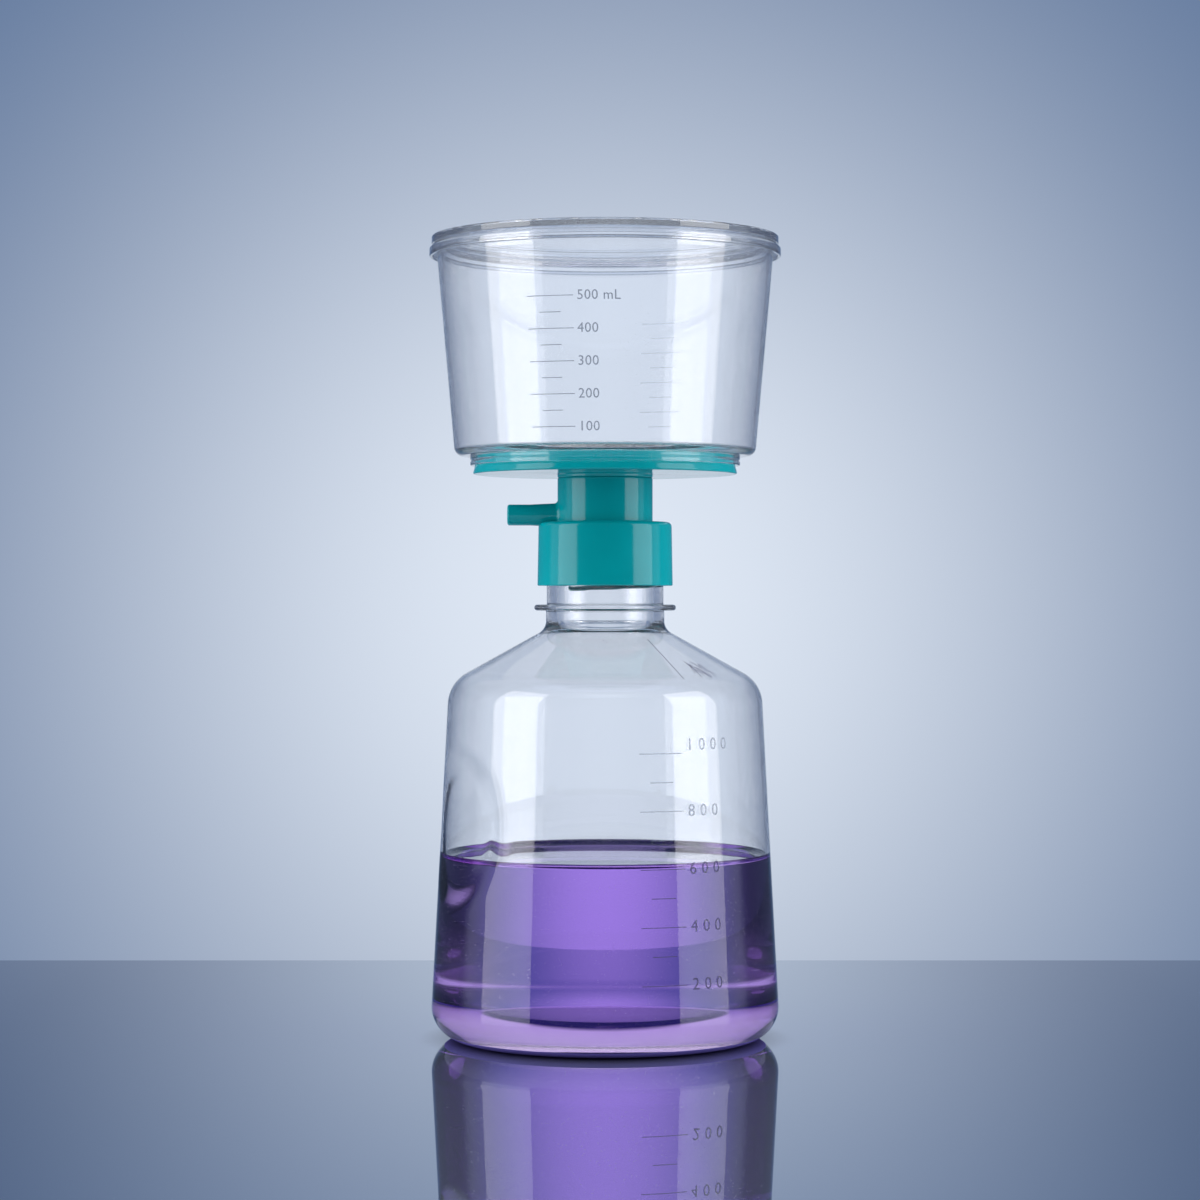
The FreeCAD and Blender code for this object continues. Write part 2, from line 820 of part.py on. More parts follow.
def make_funnel():
    """Funnel: clear tapered cup with a skirted rim, and a beaded foot ring round the plate."""
    body = new_body("funnel")
    floor_top = FUNNEL_FLOOR + S["funnel_floor"]
    skirt_foot = FUNNEL_TOP - S["rim_skirt"]
    skirt_roof = skirt_foot + S["rim_wall"]
    skirt_inner = RIM_RADIUS - S["rim_wall"]
    clamp = MEMBRANE_RADIUS - S["clamp_width"]
    inner_top = funnel_radius(FUNNEL_TOP) - S["funnel_wall"]
    inner_floor = funnel_radius(floor_top) - S["funnel_wall"]
    cup = turned(
        body,
        "Revolution",
        "cup",
        [
            (FOOT_RING_BORE, FLANGE_TOP),
            (FOOT_RING_RADIUS, FLANGE_TOP),
            (FOOT_RING_RADIUS, FUNNEL_FLOOR),
            (S["funnel_foot_radius"], FUNNEL_FLOOR, S["funnel_heel_radius"]),
            (funnel_radius(skirt_roof), skirt_roof),
            (skirt_inner, skirt_roof),
            (skirt_inner, skirt_foot),
            (RIM_RADIUS, skirt_foot),
            (RIM_RADIUS, FUNNEL_TOP - S["rim_slope"]),
            (RIM_RADIUS - S["rim_slope"], FUNNEL_TOP),
            (inner_top, FUNNEL_TOP),
            (inner_floor, floor_top),
            (clamp, floor_top),
            (clamp, PLATE_TOP),
            (FOOT_RING_BORE, PLATE_TOP),
        ],
    )
    inner = [(inner_floor, floor_top)]
    heel = chamfered(body, "inner_heel", cup, inner, S["funnel_inner_bevel"])
    beads = [(FOOT_RING_RADIUS, FLANGE_TOP)]
    chamfered(body, "foot_ring_edge", heel, beads, S["foot_ring_groove"])
    middle = (FLANGE_TOP + FUNNEL_FLOOR) / 2
    turned(
        body,
        "Groove",
        "bead_groove",
        [
            (FOOT_RING_RADIUS - S["foot_ring_groove"], middle),
            (FOOT_RING_RADIUS + S["foot_ring_groove"], middle - S["foot_ring_groove"] * 2),
            (FOOT_RING_RADIUS + S["foot_ring_groove"], middle + S["foot_ring_groove"] * 2),
        ],
    )
    return body


def make_lid():
    """Lid: a shallow dish that rests on the funnel's rim, with a ring that locates it inside."""
    body = new_body("lid")
    ring_foot = FUNNEL_TOP - S["lid_ring_depth"]
    ring_outer = funnel_radius(ring_foot) - S["funnel_wall"] - S["lid_clearance"]
    ring_inner = ring_outer - S["lid_ring_wall"]
    panel_top = FUNNEL_TOP + S["lid_thickness"]
    edge_top = FUNNEL_TOP + S["lid_rise"]
    edge_foot = FUNNEL_TOP - S["lid_edge_drop"]
    lid_radius = RIM_RADIUS - S["lid_inset"]
    edge_inner = lid_radius - S["lid_edge_width"]
    turn_down = RIM_RADIUS - S["rim_slope"] + S["lid_edge_drop"]
    dish = turned(
        body,
        "Revolution",
        "dish",
        [
            (ZERO, FUNNEL_TOP),
            (ring_inner, FUNNEL_TOP),
            (ring_inner, ring_foot),
            (ring_outer, ring_foot),
            (ring_outer, FUNNEL_TOP),
            (turn_down, FUNNEL_TOP),
            (turn_down + S["lid_edge_drop"] * 2, edge_foot),
            (lid_radius, edge_foot),
            (lid_radius, edge_top),
            (edge_inner, edge_top),
            (edge_inner, panel_top),
            (ZERO, panel_top),
        ],
    )
    outer = [(lid_radius, edge_top), (edge_inner, edge_top)]
    chamfered(body, "edge", dish, outer, S["lid_bevel"])
    return body


# ---------------------------------------------------------------- checking and writing


def check(pieces):
    """Stops if any object of the document failed or any piece isn't one valid solid."""
    for thing in doc.Objects:
        if any(word in thing.State for word in ("Invalid", "Error")):
            raise RuntimeError(f"{thing.Label} failed: {thing.State}")
    for piece in pieces:
        shape = piece.Shape
        if shape.isNull() or not shape.isValid() or len(shape.Solids) != 1:
            raise RuntimeError(f"{piece.Label} isn't one valid solid")


def write(pieces):
    """Writes each piece to parts/ under its own name."""
    os.makedirs("parts", exist_ok=True)
    for piece in pieces:
        piece.Shape.exportStep(os.path.join("parts", f"{piece.Label}.step"))


def main():
    cavity = make_cavity()
    pieces = [
        make_bottle(cavity),
        make_filtrate(cavity),
        make_gasket(),
        make_adapter(),
        make_plug(),
        make_base_plate(),
        make_support_plate(),
        make_membrane(),
        make_funnel(),
        make_lid(),
    ]
    doc.recompute()
    check(pieces)
    write(pieces)


main()
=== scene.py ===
import math
import random
from functools import partial

import bmesh
import bpy
import numpy as np
from bpy.props import FloatProperty, FloatVectorProperty, IntProperty, PointerProperty
from mathutils import Matrix, Vector


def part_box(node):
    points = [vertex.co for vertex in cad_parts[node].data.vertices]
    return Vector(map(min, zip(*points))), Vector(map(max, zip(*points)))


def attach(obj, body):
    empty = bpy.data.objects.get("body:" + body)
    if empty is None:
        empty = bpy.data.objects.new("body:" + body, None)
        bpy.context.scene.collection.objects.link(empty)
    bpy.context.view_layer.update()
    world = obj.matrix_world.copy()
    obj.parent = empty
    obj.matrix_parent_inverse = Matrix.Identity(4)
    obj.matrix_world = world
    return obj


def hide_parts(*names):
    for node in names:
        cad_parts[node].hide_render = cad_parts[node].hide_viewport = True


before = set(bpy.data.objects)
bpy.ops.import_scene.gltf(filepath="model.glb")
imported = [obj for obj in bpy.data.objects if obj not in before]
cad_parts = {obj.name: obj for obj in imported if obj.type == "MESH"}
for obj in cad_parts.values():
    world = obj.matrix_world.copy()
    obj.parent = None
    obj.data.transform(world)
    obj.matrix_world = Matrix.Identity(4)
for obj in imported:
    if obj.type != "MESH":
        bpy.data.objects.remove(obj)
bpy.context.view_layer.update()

# The looks of a bottle-top vacuum filtration unit: clear bottle, funnel and lid, teal neck
# adapter and base plate, violet liquid, and the printed and moulded scales.
#
# Metres, +Z up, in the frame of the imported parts. Heights and outer radii come from the
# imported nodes; wall thicknesses and roundings are the sizes below.

bl_info = {
    "name": "Vacuum filtration unit",
    "version": (1, 0, 0),
    "blender": (4, 5, 0),
    "location": "3D View > Sidebar > Filtration unit",
    "description": "Builds a bottle-top vacuum filtration unit around its packed parts",
    "category": "Add Mesh",
}

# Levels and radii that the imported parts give.
BOTTLE_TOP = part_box("bottle")[1].z
FILL_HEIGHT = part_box("filtrate")[1].z
COLLAR_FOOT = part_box("neck_adapter")[0].z
COLLAR_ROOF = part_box("neck_gasket")[1].z
STEM_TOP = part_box("neck_adapter")[1].z
ARM_TIP = -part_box("neck_adapter")[0].x
SPOUT_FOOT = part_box("base_plate")[0].z
FLANGE_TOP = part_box("funnel")[0].z
PLATE_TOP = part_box("base_plate")[1].z
MEMBRANE_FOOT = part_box("membrane")[0].z
MEMBRANE_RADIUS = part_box("membrane")[1].x
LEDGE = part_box("support_plate")[0].z
SUPPORT_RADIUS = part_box("support_plate")[1].x
FUNNEL_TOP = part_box("funnel")[1].z
RIM_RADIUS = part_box("funnel")[1].x
LID_RING_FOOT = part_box("lid")[0].z
LID_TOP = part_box("lid")[1].z
LID_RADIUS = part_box("lid")[1].x

# The angles that the unit's front and back face.
FRONT, BACK = -math.pi / 2, math.pi / 2

# Widths of the small roundings that the mouldings share.
CRISP, FINE, SOFT, ROUND, BLUNT = 0.0001, 0.0002, 0.0003, 0.0004, 0.0005

# Width of the roundings between the bottle's standing ring and its raised middle. It isn't a
# property: those keep fewer digits, and the ring would sink just under the table's top.
BASE_ROUND = 0.002

# How finely the meshes are cut. Roundings wider than the first value turn by the second.
BEND_STEPS = ((0.004, math.radians(3)), (0.001, math.radians(9)), (0, math.radians(22.5)))
EDGE_SUPPORT = 0.0003
TURN_STEP = math.radians(2)
BOTTLE_GRIP_STEP, BOTTLE_GRIP_TURN = 0.0014, math.radians(1.1)
LIQUID_GRIP_STEP, LIQUID_GRIP_TURN = 0.001, math.radians(0.95)
NECK_THREAD_STEP, COLLAR_THREAD_STEP = 0.00045, 0.0004

# The liquid: rings of its climbing edge, from the first share of the climb's width on, rings of
# its level middle as shares of its radius, and the shares between which the grip moves it.
CLIMB_RINGS, CLIMB_START, CLIMB_GROWTH = 16, 0.12, 1.3
LEVEL_RINGS = (0.7, 0.5, 0.25, 0)
GRIP_SHARES = (0.6, 0.95)

# The side arm, and how much its middle ring has of the draft and of the stem's curve.
ARM_SIDES, ARM_BENDS = 64, 4
ARM_MIDDLE_DRAFT, ARM_MIDDLE_WRAP = 0.4, 0.3

# Print: how finely a line bends, its thickness, its sharpest smooth edge, the text size that
# makes a digit one high, and the space between digits.
LINE_STEP = math.radians(1.5)
PRINT_THICKNESS = 0.00004
PRINT_CREASE = math.radians(30)
TEXT_SIZE_OF_DIGIT = 1.38
FUNNEL_SPACING, BOTTLE_SPACING = 1.05, 1.7

# Scales: steps from top to bottom, and half the angle of a long and a short line in degrees.
SCALE_STEPS = 8
FUNNEL_HALVES, BACK_HALVES, BOTTLE_HALVES = (8.2, 3.8), (8.5, 5.0), (7.8, 4.2)

# Wear on the shoulder, placed by degrees from the front and by a share of the slope.
LONG_SCRATCH = ((32.5, 0.82), (31.5, 0.12))
NECK_MARKS = ((-1.5, 0.80), (0.8, 0.76))
SCRATCHES, PATCH_DEGREES, PATCH_SHARES = 34, (41, 50), (0.24, 0.44)
SCRATCH_LEAN, SCRATCH_FALL = 2, (0.0005, 0.0025)

# Bubbles: the middle, half width and number of each arc of them.
BUBBLE_ARCS = ((FRONT - 1.25, 0.35, 60), (FRONT + 1.25, 0.3, 45), (BACK, 0.9, 45))

# Optics, and colours that are fixed by what they stand for.
PLASTIC_INDEX, WATER_INDEX, FILM_INDEX = 1.5, 1.333, 1.2
BLACK, WHITE = (0, 0, 0, 1), (1, 1, 1, 1)
DUSTY_TEAL = (0.6, 0.75, 0.76, 1)
FILTRATE_DEPTH, FILTRATE_DENSITY = (0.50, 0.02, 0.92, 1), 11.0
GRAIN_SCALE = 1500.0
LARGEST_SPECK, SPECK_STRENGTH = 0.2, 0.25
SCUFF_DIRECTIONS = ((0.5, (1400.0, 1400.0, 24.0)), (-0.9, (1100.0, 1100.0, 18.0)))

# Where clear plastic changes up its height: how far below the rim its coat starts, how fast the
# changes come, and levels that no piece reaches.
RIM_COAT, COAT_FADE, WET_FADE = 0.006, 0.0003, 0.006
BELOW_ALL, ABOVE_ALL = -1.0, 1.0

# How high the liquid's climbing edge takes its painted shade, and where that painted shade
# changes on the way to the sides, as shares of the wall's radius.
PAINTED_CLIMB_SHADE_FADE, PAINTED_CLIMB_SHADE_SIDES = 0.0004, (0.6, 0.85)

# Where the table's painted shade darkens it to the sides, seen straight and through the unit,
# where its painted shadow under the unit fades out, and where it turns into a mirror, from 0
# straight on to 1 along it.
PAINTED_TABLE_SHADE_FADE, PAINTED_THROUGH_LIGHT_FADE, PAINTED_SHADOW_FADE = (0.03, 0.24), (0.03, 0.12), (0.050, 0.068)
GRAZING = (0.75, 0.81)

# Where the room changes, in degrees: across from the middle of the backdrop, and up from level.
WINGS, BENT_WINGS, BESIDE, BEHIND_LAMPS = (13, 30), (20, 38), (68, 79), (122, 132)
ABOVE, OVER_TABLE, UNDER_LIGHT, CEILING = (13, 24), (-4, -1), (38, 33), (64, 72)
# Light that crossed more skins than this went through the liquid.
EMPTY_SKINS = 4.5


def colour(code):
    """Linear RGBA of a six-digit colour code."""
    channels = [int(code[place : place + 2], 16) / 255 for place in (0, 2, 4)]
    linear = [
        value / 12.92 if value <= 0.04045 else ((value + 0.055) / 1.055) ** 2.4
        for value in channels
    ]
    return (*linear, 1.0)


def length(label, about, metres):
    """A size in metres that the sidebar shows."""
    return FloatProperty(
        name=label, description=about, default=metres, unit="LENGTH", precision=5
    )


def turn(label, about, degrees):
    """An angle that the sidebar shows."""
    return FloatProperty(
        name=label, description=about, default=math.radians(degrees), unit="ROTATION"
    )


def number(label, about, value):
    """A plain number that the sidebar shows."""
    return FloatProperty(name=label, description=about, default=value)


def paint(label, about, code):
    """A colour that the sidebar shows."""
    return FloatVectorProperty(
        name=label,
        description=about,
        default=colour(code),
        size=4,
        min=0,
        max=1,
        subtype="COLOR",
    )


class BottleSizes(bpy.types.PropertyGroup):
    """Sizes of the receiver bottle and its liquid."""

    foot_radius: length("Foot radius", "Outer radius of the wall where it meets the foot", 0.0618)
    body_draft: length("Body draft", "How much the wall draws in up to the shoulder", 0.0067)
    shoulder_height: length("Shoulder height", "Height of the foot of the shoulder", 0.1253)
    shoulder_rise: length("Shoulder rise", "Height of the sloping shoulder", 0.0189)
    shoulder_blend: length("Shoulder blend", "Rounding between body and shoulder", 0.0131)
    heel_radius: length("Heel radius", "Rounding between body and foot", 0.0115)
    foot_land: length("Foot land", "Width of the slope inside the standing ring", 0.005)
    push_up: length("Push-up", "Height of the raised middle of the base", 0.006)
    push_up_radius: length("Push-up radius", "Radius of the raised middle of the base", 0.030)
    underside_tilt: number("Underside tilt", "Part of the normal that points up, at most", -0.8)
    underside_fade: length("Underside fade", "How softly the underside's shades meet", 0.001)
    wall: length("Wall", "Thickness of the body wall", 0.0015)
    base: length("Base", "Thickness of the base", 0.003)
    inner_heel_radius: length("Inner heel radius", "Rounding inside the heel", 0.0095)
    neck_radius: length("Neck radius", "Outer radius of the neck", 0.0206)
    neck_wall: length("Neck wall", "Thickness of the neck", 0.0033)
    neck_root_step: length("Neck root step", "How much wider the neck is at its root", 0.0003)
    neck_root_blend: length("Neck root blend", "Rounding between shoulder and neck", 0.0048)
    ring_foot: length("Support ring height", "Height of the support ring's underside", 0.1507)
    ring_thickness: length("Support ring thickness", "Thickness of the support ring", 0.0021)
    ring_width: length("Support ring width", "How far the support ring stands out", 0.0044)
    ring_bevel: length("Support ring bevel", "Rounding of the support ring's edge", 0.001)
    lip_bevel: length("Lip bevel", "Rounding of the lip", 0.0006)
    grip_height: length("Grip height", "Height of the middle of the thumb grip", 0.0745)
    grip_angle: turn("Grip angle", "Where the thumb grip is, from +X", 207)
    grip_radius: length("Grip radius", "Radius of the thumb grip", 0.026)
    grip_depth: length("Grip depth", "Depth of the thumb grip at its middle", 0.0012)
    grip_floor_radius: length("Grip floor radius", "Radius of the grip's curved floor", 0.064)
    grip_edge: length("Grip edge", "Width of the soft edge round the grip", 0.0085)
    meniscus_height: length("Meniscus height", "How far the liquid climbs the wall", 0.0022)
    meniscus_width: length("Meniscus width", "How fast the climb dies away", 0.0018)
    least_bubble: length("Least bubble", "Radius of the smallest bubble", 0.00012)
    bubble_spread: length("Bubble spread", "How much larger a bubble can be", 0.0003)
    bubble_reach: length("Bubble reach", "How far from the wall bubbles lie", 0.006)


class ThreadSizes(bpy.types.PropertyGroup):
    """Sizes of the screw thread that bottle and collar share."""

    pitch: length("Pitch", "Rise for each turn", 0.005)
    depth: length("Depth", "Height of the ridge above the neck", 0.0012)
    root_width: length("Root width", "Width of the ridge at its root", 0.0024)
    crest_width: length("Crest width", "Width of the ridge at its crest", 0.001)
    start_below_lip: length("Start below lip", "Depth of the ridge's start", 0.0193)
    start_angle: turn("Start angle", "Where the ridge starts, from +X", 231)
    run_out: turn("Run-out", "Length over which each end of the ridge fades", 7)
    clearance: length("Clearance", "Gap between the two threads", 0.00035)
    neck_turns: number("Turns on the neck", "Number of turns of the neck's ridge", 3)
    collar_turns: number("Turns in the collar", "Number of turns of the collar's ridge", 2)


class HeadSizes(bpy.types.PropertyGroup):
    """Sizes of the teal neck adapter and base plate."""

    collar_wall: length("Collar wall", "Thickness of the screw collar at its foot", 0.00175)
    collar_draft: length("Collar draft", "How much the collar draws in to its top", 0.0004)
    collar_roof: length("Collar roof", "Thickness of the collar's roof", 0.002)
    collar_round: length("Collar rounding", "Rounding of the collar's shoulder", 0.0017)
    stem_radius: length("Stem radius", "Outer radius of the stem", 0.0168)
    stem_wall: length("Stem wall", "Thickness of the stem", 0.0022)
    seam: length("Seam", "Size of the groove between stem and hub", 0.00045)
    arm_rise: length("Arm rise", "Height of the side arm above the collar", 0.0025)
    arm_tip_radius: length("Arm tip radius", "Radius of the side arm at its tip", 0.0037)
    arm_draft: length("Arm draft", "How much the arm widens to its root", 0.0004)
    arm_land: length("Arm land", "Length of the arm's straight tip", 0.008)
    arm_bore: length("Arm bore", "Radius of the arm's bore", 0.0024)
    arm_root: length("Arm root", "Rounding where the arm leaves the stem", 0.0012)
    arm_round: length("Arm rounding", "Rounding of the arm's tip", 0.0008)
    flange_thickness: length("Flange thickness", "Thickness of the flange", 0.003)
    flange_flare: length("Flange flare", "How much wider the flange is below", 0.0008)
    plate_radius: length("Plate radius", "Outer radius of the base plate", 0.0459)
    plate_floor: length("Plate floor", "Thickness under the drain", 0.0022)
    drain_fall: length("Drain fall", "Fall of the drain to the spout", 0.002)
    drain_radius: length("Drain radius", "Bore of the spout", 0.0035)
    seat_step: length("Seat step", "Width of the ledge under the support plate", 0.0014)
    rib_width: length("Rib width", "Width of each drain rib", 0.0016)
    rib_count: IntProperty(name="Ribs", description="Number of drain ribs", default=8)
    spigot: length("Spigot", "Length of the spigot inside the stem", 0.003)
    spout_radius: length("Spout radius", "Outer radius of the drip spout", 0.005)
    spout_bevel: length("Spout bevel", "Height of the slanting cut on the spout", 0.005)
    seat_gap: length("Seat gap", "Gap at a seated joint", 0.00005)
    crease: turn("Crease", "Angle past which the base plate's edges are sharp", 50)


class FunnelSizes(bpy.types.PropertyGroup):
    """Sizes of the clear funnel and its lid."""

    lap: length("Lap", "How far the funnel's floor is below the plate's top", 0.0007)
    foot_radius: length("Foot radius", "Outer radius of the funnel at its floor", 0.053)
    flare: length("Flare", "How much the funnel opens to its top", 0.00665)
    wall: length("Wall", "Thickness of the funnel wall", 0.0015)
    floor: length("Floor", "Thickness of the funnel's floor", 0.0022)
    heel_radius: length("Heel radius", "Rounding between wall and floor", 0.0033)
    inner_heel: length("Inner heel", "Rounding inside the heel", 0.0009)
    clamp_width: length("Clamp width", "How far the floor covers the membrane", 0.0024)
    ring_wall: length("Foot ring wall", "Thickness of the foot ring", 0.00165)
    ring_groove: length("Foot ring groove", "Depth of the foot ring's groove", 0.00045)
    rim_slope: length("Rim slope", "Size of the slope on top of the rim", 0.002)
    rim_skirt: length("Rim skirt", "Height of the rim's skirt", 0.0047)
    rim_wall: length("Rim wall", "Thickness of the rim's skirt", 0.0012)
    lid_thickness: length("Lid thickness", "Thickness of the lid's panel", 0.0015)
    lid_edge: length("Lid edge", "Width of the lid's raised edge", 0.0018)
    lid_drop: length("Lid drop", "How far the lid's edge turns down", 0.0003)
    lid_ring_wall: length("Lid ring wall", "Thickness of the lid's locating ring", 0.0013)
    lid_clearance: length("Lid clearance", "Gap between lid ring and funnel", 0.0003)


class ScaleSizes(bpy.types.PropertyGroup):
    """Sizes of the graduations on funnel and bottle."""

    line: length("Line", "Thickness of a graduation line", 0.00028)
    lift: length("Lift", "How far the print stands off the wall", 0.00006)
    digit: length("Funnel digits", "Height of the funnel's numbers", 0.0034)
    bottle_digit: length("Bottle digits", "Height of the bottle's numbers", 0.0042)
    funnel_top: length("Funnel scale top", "Height of the funnel's top line", 0.2566)
    funnel_bottom: length("Funnel scale bottom", "Height of the funnel's last line", 0.2128)
    bottle_top: length("Bottle scale top", "Height of the bottle's top line", 0.1027)
    bottle_bottom: length("Bottle scale bottom", "Height of the bottle's last line", 0.0251)
    funnel_turn: turn("Funnel lines", "Angle of the funnel's lines from the front", -19)
    funnel_number_turn: turn("Funnel numbers", "Angle where its numbers start", -9.6)
    back_turn: turn("Back lines", "Angle of the lines behind from the back", -22.5)
    bottle_turn: turn("Bottle lines", "Angle of the bottle's lines from the front", 19.5)
    bottle_number_turn: turn("Bottle numbers", "Angle where its numbers start", 29)
    top_label_rise: length("Top label rise", "How far the bottle's top number is lifted", 0.0028)
    scratch: length("Scratch", "Width of the widest scratch", 0.00022)


class FinishColours(bpy.types.PropertyGroup):
    """Colours of the finishes."""

    clear: paint("Clear plastic", "Tint of the clear mouldings", "FCFDFF")
    dust: paint("Dust", "Colour of the dust on the clear mouldings", "8FA2BE")
    liquid: paint("Filtrate", "Colour of the light that the liquid lets onto the table", "F6F0FF")
    # Painted shade on the liquid's climbing edge, at the front and back.
    meniscus: paint("Meniscus", "Shade of the liquid's climbing edge", "0C0F1C")
    # Painted shade on the same edge at the sides.
    meniscus_side_painted_shade: paint("Meniscus, sides", "Shade of that edge at the sides", "E070F0")
    underside: paint("Underside", "Shade of the bottle's stippled underside", "FFF8FF")
    # Painted shade in the raised middle of the underside, for the dark hollow under it.
    underside_painted_shade: paint("Underside, dark", "Shade of its raised middle", "2A2058")
    # Painted shade at the edge that the bottle stands on.
    contact_edge_painted_shade: paint("Contact edge", "Shade of the edge that it stands on", "7468B8")
    teal: paint("Teal plastic", "Colour of the adapter and base plate", "00969E")
    deep_teal: paint("Deep teal", "Darker drift in the teal plastic", "00858E")
    white: paint("White plastic", "Colour of the support plate", "EEF0F2")
    membrane: paint("Membrane", "Colour of the membrane", "F6F6F3")
    gasket: paint("Gasket", "Colour of the gasket", "D9DEE2")
    fibre: paint("Fibre plug", "Colour of the fibre plug", "F1EFE8")
    pale_shade: paint("Pale shade", "Shade that the pale plastics drift to", "D5DAE0")
    ink: paint("Ink", "Colour of the printed scale", "8C96A8")
    # Painted shade of the raised scale where the liquid lies behind it; the scratches take this
    # colour too.
    scratch_and_painted_wet_shade: paint("Wet scale", "Colour of the raised scale with liquid behind it", "4E4A72")


class StageSizes(bpy.types.PropertyGroup):
    """Places of the camera, the lamps and the table."""

    eye_distance: length("Eye distance", "Distance of the camera from the axis", 1.105)
    eye_height: length("Eye height", "Height of the camera", 0.1544)
    eye_side: length("Eye side", "How far the camera is to the left", 0.0018)
    lens: number("Lens", "Focal length in millimetres on a 36 mm sensor", 93.9)
    table_back: length("Table back", "Distance of the table's far edge", 0.238)
    table_reach: length("Table reach", "Half width of the table", 0.34)
    table_front: length("Table front", "Distance of the table's near edge", 0.36)
    table_thickness: length("Table thickness", "Thickness of the table top", 0.03)
    table_bevel: length("Table bevel", "Bevel of the table's edges", 0.002)
    lamp_distance: length("Lamp distance", "Distance of each softbox from the axis", 1.0)
    lamp_angle: turn("Lamp angle", "Angle of each softbox from the camera", 67.5)
    lamp_width: length("Lamp width", "Width of each softbox", 0.69)
    lamp_height: length("Lamp height", "Height of each softbox", 1.12)
    lamp_drop: length("Lamp drop", "How far each softbox reaches below the table top", 0.12)
    lamp_power: number("Lamp power", "Power of each softbox in watts", 5.9)
    lamp_colour: paint("Lamp colour", "Colour of the softboxes", "FFFBF6")
    even_fill: number("Even fill", "Share of the fill light that comes from all round", 0.09)
    side_fill: number("Side fill", "Share of the fill light that comes from the sides", 2.84)
    top_fill: number("Top fill", "Share of the fill light that comes from above", 0.5)
    spot_spread: turn("Spot spread", "Spread of the bright patch of the backdrop", 7.6)
    bent_across: turn("Bent spread, across", "Width of that patch for light through the unit", 11.5)
    bent_up: turn("Bent spread, up", "Height of that patch for light through the unit", 18)
    bright: paint("Backdrop, middle", "Colour of the backdrop behind the unit", "DFE8F5")
    dim: paint("Backdrop, edge", "Colour of the backdrop round its bright patch", "446490")
    wings: paint("Backdrop, wings", "Colour of the backdrop far to the sides", "4A5570")
    bent_wings: paint("Wings, bent", "The same wings as the filtrate shows them", "262B3C")
    thin_wings: paint("Wings, thin", "The same wings as empty clear parts show them", "8696B2")
    surround: paint("Surround", "Colour of the room to the sides and above", "D2DCEC")
    surround_gloss: paint("Surround in gloss", "The same room as glossy skins show it", "CCD8EA")
    front: paint("Front", "Colour of the unlit room in front of the unit", "2E3848")
    ceiling: paint("Ceiling", "Colour of the room high above", "505D72")
    fill: paint("Fill light", "Colour of the light from all round", "E8EEF6")
    table: paint("Table", "Colour of the table", "CCD5E0")
    # Painted shadow on the table under the unit, and how strong it is.
    painted_contact_shadow: paint("Contact", "Colour of the table close under the unit", "2A2540")
    painted_contact_shadow_strength: number("Contact strength", "Share of that colour under the unit", 0.8)
    # Painted shade that darkens the table away from the unit.
    table_side_painted_shade: paint("Table, sides", "Colour of the table away from the unit", "6E7C94")


# ---------------------------------------------------------------- outlines and turned meshes


def bend_points(before, corner, after, radius):
    """Points of the arc that rounds a corner, tangent to both sides."""
    arrive = (corner - before).normalized()
    leave = (after - corner).normalized()
    bend = math.atan2(arrive.x * leave.y - arrive.y * leave.x, arrive.dot(leave))
    start = corner - arrive * (radius * math.tan(abs(bend) / 2))
    inward = Vector((-arrive.y, arrive.x)) * math.copysign(radius, bend)
    centre = start + inward
    step = next(step for least, step in BEND_STEPS if radius > least)
    count = max(2, math.ceil(abs(bend) / step))
    spokes = [Matrix.Rotation(bend * part / count, 2) for part in range(count + 1)]
    return [centre + spoke @ (start - centre) for spoke in spokes]


def rounded(corners, edge):
    """A closed outline. A corner off the axis is rounded by its third value, or else by edge."""
    places = [Vector(corner[:2]) for corner in corners]
    points = []
    for index, corner in enumerate(corners):
        radius = corner[2] if len(corner) > 2 else edge * (corner[0] > 0)
        if radius:
            after = places[(index + 1) % len(places)]
            points += bend_points(places[index - 1], places[index], after, radius)
        else:
            points.append(places[index])
    return points


def supported(points):
    """The outline with a point close to each end of its long straight runs."""
    result = []
    for index, point in enumerate(points):
        after = points[(index + 1) % len(points)]
        result.append(point)
        run = (after - point).length
        if run > EDGE_SUPPORT * 4 and (point.x > 0 or after.x > 0):
            result.append(point.lerp(after, EDGE_SUPPORT / run))
            result.append(after.lerp(point, EDGE_SUPPORT / run))
    return result


def refined(points, low, high, step):
    """The outline with its runs between two heights cut into pieces no longer than step."""
    result = []
    for index, point in enumerate(points):
        after = points[(index + 1) % len(points)]
        result.append(point)
        inside = min(point.y, after.y) < high and max(point.y, after.y) > low
        if inside and point.x > 0 and after.x > 0:
            count = math.ceil(abs(after.y - point.y) / step)
            places = [point.lerp(after, part / count) for part in range(1, count)]
            result += [place for place in places if low <= place.y <= high]
    return result


def around_turn(fine_middle=0.0, fine_half=0.0, fine_step=TURN_STEP):
    """Angles of one turn, closer together near one angle."""
    start = fine_middle - fine_half
    fine_count = math.ceil(2 * fine_half / fine_step)
    rest = 2 * math.pi - 2 * fine_half
    plain_count = math.ceil(rest / TURN_STEP)
    fine = [start + 2 * fine_half * part / max(1, fine_count) for part in range(fine_count)]
    plain = [start + 2 * fine_half + rest * part / plain_count for part in range(plain_count)]
    return np.array(fine + plain)


